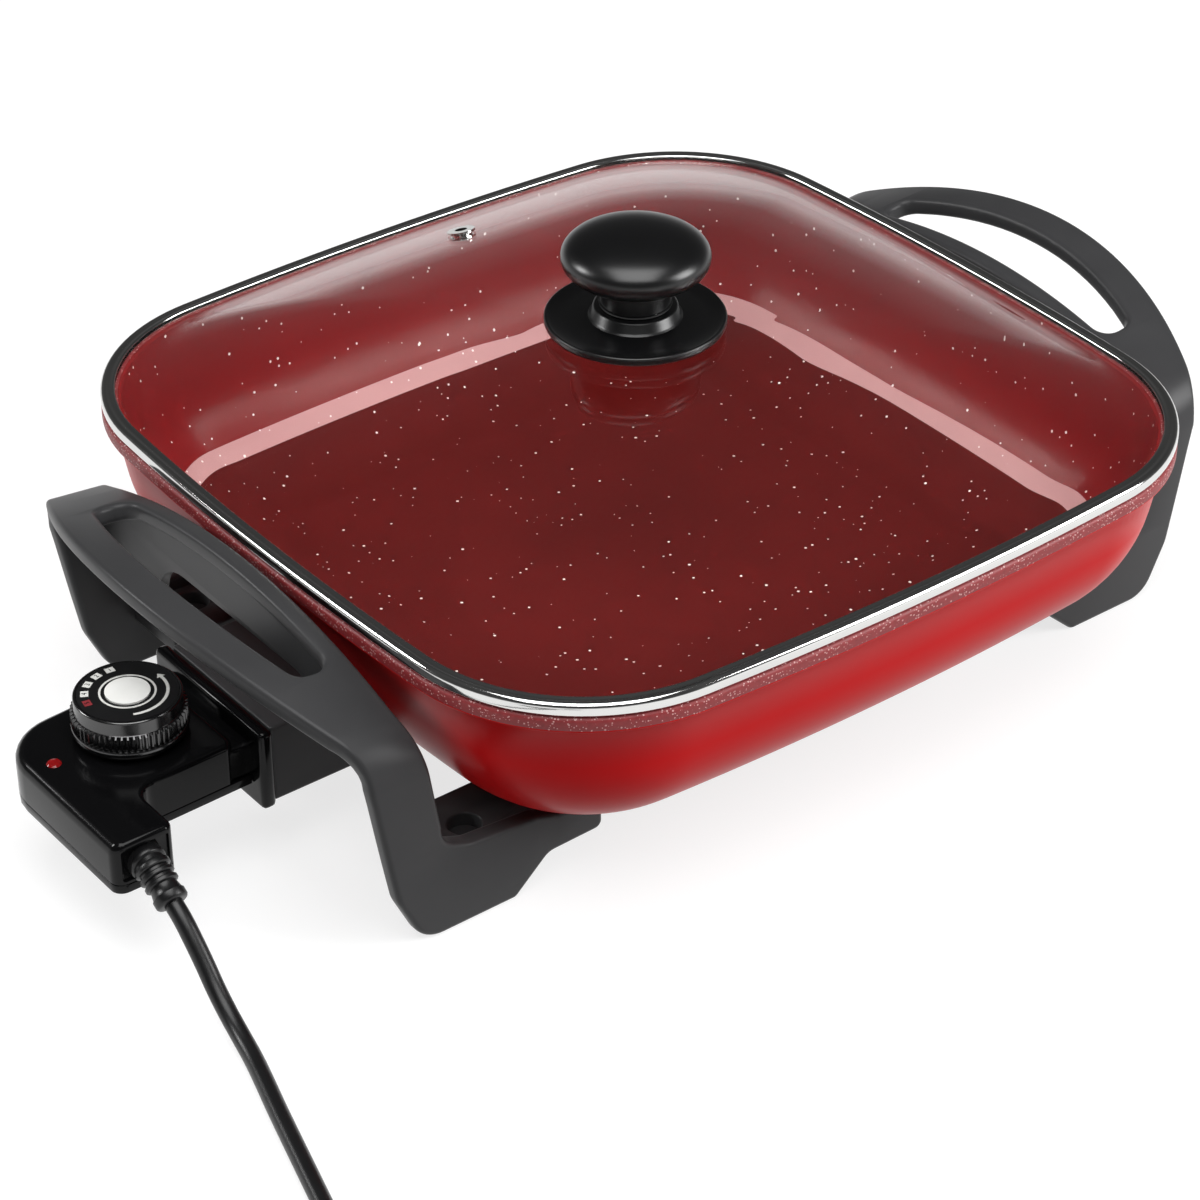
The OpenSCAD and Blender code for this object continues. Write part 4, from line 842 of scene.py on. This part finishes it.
def dialRing(radius, height, depth=0):
    count = dial["ribs"] * 4
    radii = [radius - (depth if i % 4 < 2 else 0) for i in range(count)]
    turns = [2 * pi * i / count for i in range(count)]
    return [(dial["x"] + r * cos(t), r * sin(t), height) for r, t in zip(radii, turns)]


def makeDial():
    low, top, base, grip = dial["low"], dial["top"], dial["baseTop"], dial["gripTop"]
    wide, rib, barrel, plate = dial["baseRadius"], dial["ribRadius"], dial["barrel"], dial["plate"]
    deep, edge = dial["ribDepth"], dial["topRound"]
    steps = [(wide - 0.8, low), (wide - 0.2, low + 0.2), (wide, low + 0.7), (wide, base - 0.7),
             (wide - 0.3, base - 0.2), (rib - 1.0, base), (rib - 0.9, base + 0.2), (rib, base + 0.6, deep),
             (rib, grip - 0.6, deep), (rib - 0.9, grip), (barrel + 0.1, grip + 0.1), (barrel, grip + 0.4)]
    steps += [(barrel - edge + r, z) for r, z in arc((0, top - edge), edge, 0, 90, 4)]
    steps += [(plate + 0.1, top), (plate, top - 0.15), (plate, top - dial["recess"] - dial["sunk"])]
    return smoothByAngle(ringStack("dialGrip", [dialRing(*q) for q in steps]), 35)


finishPiece(makeDial(), "dial", "gloss_black", gripBlack, "dial_knob")

# Print on the dial: a ring, an arc with an arrow head, and five numbered boxes
marks = {
    "height": 0.06, "gap": 0.01, "ringIn": 8.3, "ringOut": 9.0, "arcIn": 11.9, "arcOut": 12.9,
    "arcFrom": -113, "arcTo": 2, "tipHalf": 1.5, "tipTurn": 9, "boxes": 5, "boxAway": 13.2,
    "boxFrom": 83, "boxStep": 21.8, "boxWide": 2.5, "boxTall": 3.0, "digitSize": 2.3, "digitLift": 0.03,
}
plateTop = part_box("dial_plate")[1].z * 1000


# A flat shape on the dial's plate, given as its outline and, for a ring, its hole
def printShape(name, outline, hole=None):
    low, high = plateTop + marks["gap"], plateTop + marks["gap"] + marks["height"]
    levels = [(outline, low), (outline, high)] + ([(hole, high), (hole, low)] if hole else [])
    rings = [[(dial["x"] + x, y, z) for x, y in shape] for shape, z in levels]
    return ringStack(name, rings, loop=bool(hole))


def makeDialPrint():
    circles = [arc((0, 0), marks[key], 0, 360, 96)[:-1] for key in ("ringOut", "ringIn")]
    pieces = [printShape("dialPrint", *circles)]
    band = arc((0, 0), marks["arcOut"], marks["arcFrom"], marks["arcTo"], 40)
    band += arc((0, 0), marks["arcIn"], marks["arcTo"], marks["arcFrom"], 40)
    pieces.append(printShape("arcMark", band))
    middle, half = (marks["arcIn"] + marks["arcOut"]) / 2, marks["tipHalf"]
    tip = [arc((0, 0), middle + d, marks["arcTo"] + a, marks["arcTo"] + a, 1)[0] for d, a in
           ((half, 0), (0, marks["tipTurn"]), (-half, 0))]
    pieces.append(printShape("arrowMark", tip))
    boxes, digits = [], []
    for i in range(marks["boxes"]):
        turn = radians(marks["boxFrom"] + marks["boxStep"] * i)
        out, along = Vector((cos(turn), sin(turn))), Vector((-sin(turn), cos(turn)))
        corners = [out * (marks["boxAway"] + a * marks["boxWide"] / 2) + along * b * marks["boxTall"] / 2
                   for a, b in ((1, -1), (1, 1), (-1, 1), (-1, -1))]
        boxes.append(printShape("numberBox", [tuple(c) for c in corners]))
        digits.append(makeDigit(str(i + 1), out * marks["boxAway"], turn))
    white = joinPieces(*pieces, *boxes[:-1])
    return white, boxes[-1], joinPieces(*digits)


def makeDigit(sign, spot, turn):
    deselectAll()
    bpy.ops.object.text_add()
    piece = bpy.context.object
    piece.data.body = sign
    piece.data.align_x = piece.data.align_y = "CENTER"
    piece.data.size = marks["digitSize"] / 1000
    piece.data.extrude = marks["height"] / 2000
    bpy.ops.object.convert(target="MESH")
    piece = bpy.context.object
    piece.rotation_euler.z = turn - pi / 2
    piece.location = mm(dial["x"] + spot.x, spot.y, plateTop + marks["digitLift"] + marks["height"])
    bpy.ops.object.transform_apply(location=True, rotation=True, scale=True)
    return piece


whiteMarks, redMark, darkMarks = makeDialPrint()
redMark.name = redMark.data.name = "dialPrintRed"
darkMarks.name = darkMarks.data.name = "dialPrintDigits"
finishPiece(whiteMarks, "dial", "dial_white", printWhite)
finishPiece(redMark, "dial", "dial_white", printRed)
finishPiece(darkMarks, "dial", "dial_print", dialBlack)
print("dial made")

# The cord: boot, free stretch, then a coil past the edge of the view; ribs and collar as (along, outwards)
cord = {
    "diameter": 6, "length": 1.036, "lip": 150, "out": 73.8, "arm": 48, "height": 37,
    "droop": 31, "bend": 8, "taper": 12, "tableGap": 0.15, "coilHeight": 4.1,
    "inner": 28, "step": 6.7, "turns": 1.75, "rings": 24, "lead": 26,
    "ribs": 4, "ribPitch": 2.7, "ribHigh": 6.0, "ribLow": 5.0, "ribShrink": 0.18, "ribsFrom": 0.3,
    "ribTop": [(0, -0.3), (0.3, 0), (1.2, 0), (1.5, -0.3)], "ribGap": (1.7, 2.5), "rootIn": 1.2,
    "collar": 5.3, "collarLength": 3.4, "collarEdge": 0.4, "bootSteps": 40, "plug": (0.6, 4, 0.5),
    "collarEnd": [(-0.9, 0), (-0.3, -0.4), (0, -1.1)],
}
bootBend = cord["bend"] * radians(cord["droop"])
bootLength = bootBend + cord["taper"]


# Point and heading of the boot at a distance along it
def bootSpot(s):
    turn = min(max(s / cord["bend"], 0), radians(cord["droop"]))
    spot = Vector((-cord["lip"] - cord["out"], -cord["arm"] - cord["bend"] * sin(turn) - min(s, 0),
                   cord["height"] - cord["bend"] * (1 - cos(turn))))
    way = Vector((0, -cos(turn), -sin(turn)))
    return spot + way * max(s - bootBend, 0), way


def makeBoot():
    steps = [(-cord["rootIn"], cord["ribHigh"])]
    for i in range(cord["ribs"]):
        s, shrink = cord["ribsFrom"] + i * cord["ribPitch"], cord["ribShrink"] * i
        high, low = cord["ribHigh"] - shrink, cord["ribLow"] - shrink
        steps += [(s + a, high + b) for a, b in cord["ribTop"]] + [(s + a, low) for a in cord["ribGap"]]
    end, wide, edge = bootLength, cord["collar"], cord["collarEdge"]
    start = end - cord["collarLength"]
    steps += [(start, wide - edge), (start + edge, wide)]
    steps += [(end + a, wide + b) for a, b in cord["collarEnd"]] + [(end, cord["diameter"] / 2 - edge)]
    rings, across, count = [], Vector((1, 0, 0)), cord["bootSteps"]
    turns = [2 * pi * i / count for i in range(count)]
    for s, r in steps:
        spot, way = bootSpot(s)
        up = across.cross(way)
        rings.append([spot + r * (cos(t) * across + sin(t) * up) for t in turns])
    return smoothByAngle(ringStack("cordBoot", rings), 40)


finishPiece(makeBoot(), "probe", "cord_rubber", rubberBlack, "strain_relief")


def cordPoints():
    x, y = -cord["lip"] - cord["out"], -cord["arm"]
    end, way = bootSpot(bootLength)
    table, rest = cord["diameter"] / 2 + cord["tableGap"], cord["coilHeight"]
    route = [(0, -24, 22.6), (0, -30, 16.8), (-0.3, -36, 11.4), (-0.8, -43, 6.9), (-1.8, -51, 4.2),
             (-3.6, -60, table), (-6.4, -70, table), (-10, -82, table), (-14, -96, table),
             (-18.5, -112, table), (-23, -128, table), (-27.5, -144, table + 0.5), (-32, -160, rest),
             (-36.5, -176, rest)]
    points = [end, end + 5 * way] + [Vector((x + a, y + b, c)) for a, b, c in route]
    heading = (points[-1] - points[-2]).normalized()
    angle = atan2(heading.x, -heading.y)
    outer = cord["inner"] + cord["turns"] * cord["step"]
    start = points[-1] + cord["diameter"] * heading
    middle = Vector((start.x - outer * cos(angle), start.y - outer * sin(angle), 0))
    total = 2 * cord["turns"] + 0.5
    for i in range(round(total * cord["rings"]) + 1):
        turns = i / cord["rings"]
        climb = min(max((turns - cord["turns"]) / 0.5, 0), 1)
        away = max(cord["turns"] - turns, turns - cord["turns"] - 0.5)
        r, t = cord["inner"] + away * cord["step"], angle - 2 * pi * turns
        points.append(Vector((middle.x + r * cos(t), middle.y + r * sin(t),
                              rest + cord["step"] * (1 - cos(pi * climb)) / 2)))
    points.append(points[-1] + cord["lead"] * Vector((sin(t), -cos(t), 0)))
    return [p / 1000 for p in points]


plugGrip = mouldedCopy("plugGrip", "plug_body", *cord["plug"])
finishPiece(plugGrip, "probe", "cord_rubber", rubberBlack, "plug_body")


def makeCord():
    points = cordPoints()
    data = bpy.data.curves.new("powerLead", "CURVE")
    data.dimensions = "3D"
    data.bevel_depth = cord["diameter"] / 2000
    data.bevel_resolution = 6
    data.use_fill_caps = True
    line = data.splines.new("BEZIER")
    line.resolution_u = 5
    line.bezier_points.add(len(points) - 1)
    for spot, p in zip(line.bezier_points, points):
        spot.co = p
        spot.handle_left_type = spot.handle_right_type = "AUTO"
    piece = addObject("powerLead", data)
    finishPiece(piece, "probe", "cord_rubber", rubberBlack, "power_cord", "cord_coil")


makeCord()
print("cord made")

# CAD nodes that keep their shape
nodeFinishes = (
    (platedSteel, "terminal_pins", "shroud_screws", "handle_screws", "knob_washer", "knob_screw",
     "probe_screws", "thermostat_frame", "dial_shaft", "plug_pins"),
    (ceramic, "terminal_insulators", "contact_carrier", "blade_stack"),
    (brassSheet, "contact_sleeves", "contact_blades"), (polishedSteel, "vent_eyelet"),
    (sheathSteel, "heating_element"), (siliconeGrey, "knob_gasket"), (satinAluminium, "sensor_rod"),
    (redLens, "pilot_lens"), (lampGlass, "neon_lamp"), (dialBlack, "dial_plate"), (dialWhite, "dial_cap"),
    (rubberBlack, "cord_tie"),
)
for finish, *nodes in nodeFinishes:
    for node in nodes:
        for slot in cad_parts[node].material_slots:
            slot.material = finish

# Studio: pale floor, soft boxes above, at the right and behind, a world that is bright low down and dark
# overhead; the floor's distances are in m, the boxes are (place, size, power)
studio = {
    "floorSize": 6, "floorTone": "#8E8E8E", "floorGlow": 0.76, "farGlow": 1.0, "nearBy": 0.6,
    "farAway": 1.9, "lightAim": (0, 0, 60),
    "sky": ((0.0, 0.7), (0.03, 0.42), (0.08, 0.17), (0.2, 0.08), (0.6, 0.05), (1.0, 0.08)),
    "lights": {"overhead": ((-320, -400, 1450), 1250, 25), "right": ((800, -900, 620), 600, 14),
               "back": ((-1090, 970, 800), 400, 10)},
}
deselectAll()
bpy.ops.mesh.primitive_plane_add(size=studio["floorSize"])
floor = nameNew("floor")
floorMaterial, tree, shader, place = startMaterial("floorPaper", **{
    "Base Color": linear(studio["floorTone"]), "Roughness": 0.9, "Emission Color": (1, 1, 1, 1)})
path = addNode(tree, "LightPath")
other = addMath(tree, "MAXIMUM", path.outputs["Is Glossy Ray"], path.outputs["Is Transmission Ray"])
other = addMath(tree, "MULTIPLY", other, studio["floorGlow"])
# To the camera the floor is whiter away from the object, so that no horizon shows
away = addNode(tree, "VectorMath", {"operation": "LENGTH"}, {0: place})
near, far = studio["nearBy"], studio["farAway"]
level = addNode(tree, "MapRange", {1: near, 2: far, 3: studio["floorGlow"], 4: studio["farGlow"]},
                {0: away.outputs["Value"]})
seen = addMath(tree, "MULTIPLY", path.outputs["Is Camera Ray"], level.outputs[0])
tree.links.new(addMath(tree, "MAXIMUM", seen, other), shader.inputs["Emission Strength"])
floor.data.materials.append(floorMaterial)

world = bpy.data.worlds.new("studio")
scene.world = world
world.use_nodes = True
tree = world.node_tree
way = addNode(tree, "TexCoord").outputs["Object"]
height = addNode(tree, "SeparateXYZ", links={0: way}).outputs[2]
sky = addNode(tree, "ValToRGB", links={0: height})
for spot, level in studio["sky"][1:-1]:
    sky.color_ramp.elements.new(spot)
for stop, (spot, level) in zip(sky.color_ramp.elements, studio["sky"]):
    stop.position = spot
    stop.color = (level, level, level, 1)
path = addNode(tree, "LightPath")
seen = addNode(tree, "Mix", {"data_type": "RGBA", 7: (1, 1, 1, 1)},
               {0: path.outputs["Is Camera Ray"], 6: sky.outputs[0]})
tree.links.new(seen.outputs[2], tree.nodes["Background"].inputs["Color"])

for name, (spot, size, power) in studio["lights"].items():
    data = bpy.data.lights.new(name, "AREA")
    data.size = size / 1000
    data.energy = power
    pointAt(addObject(name, data), spot, studio["lightAim"])
print("studio made")
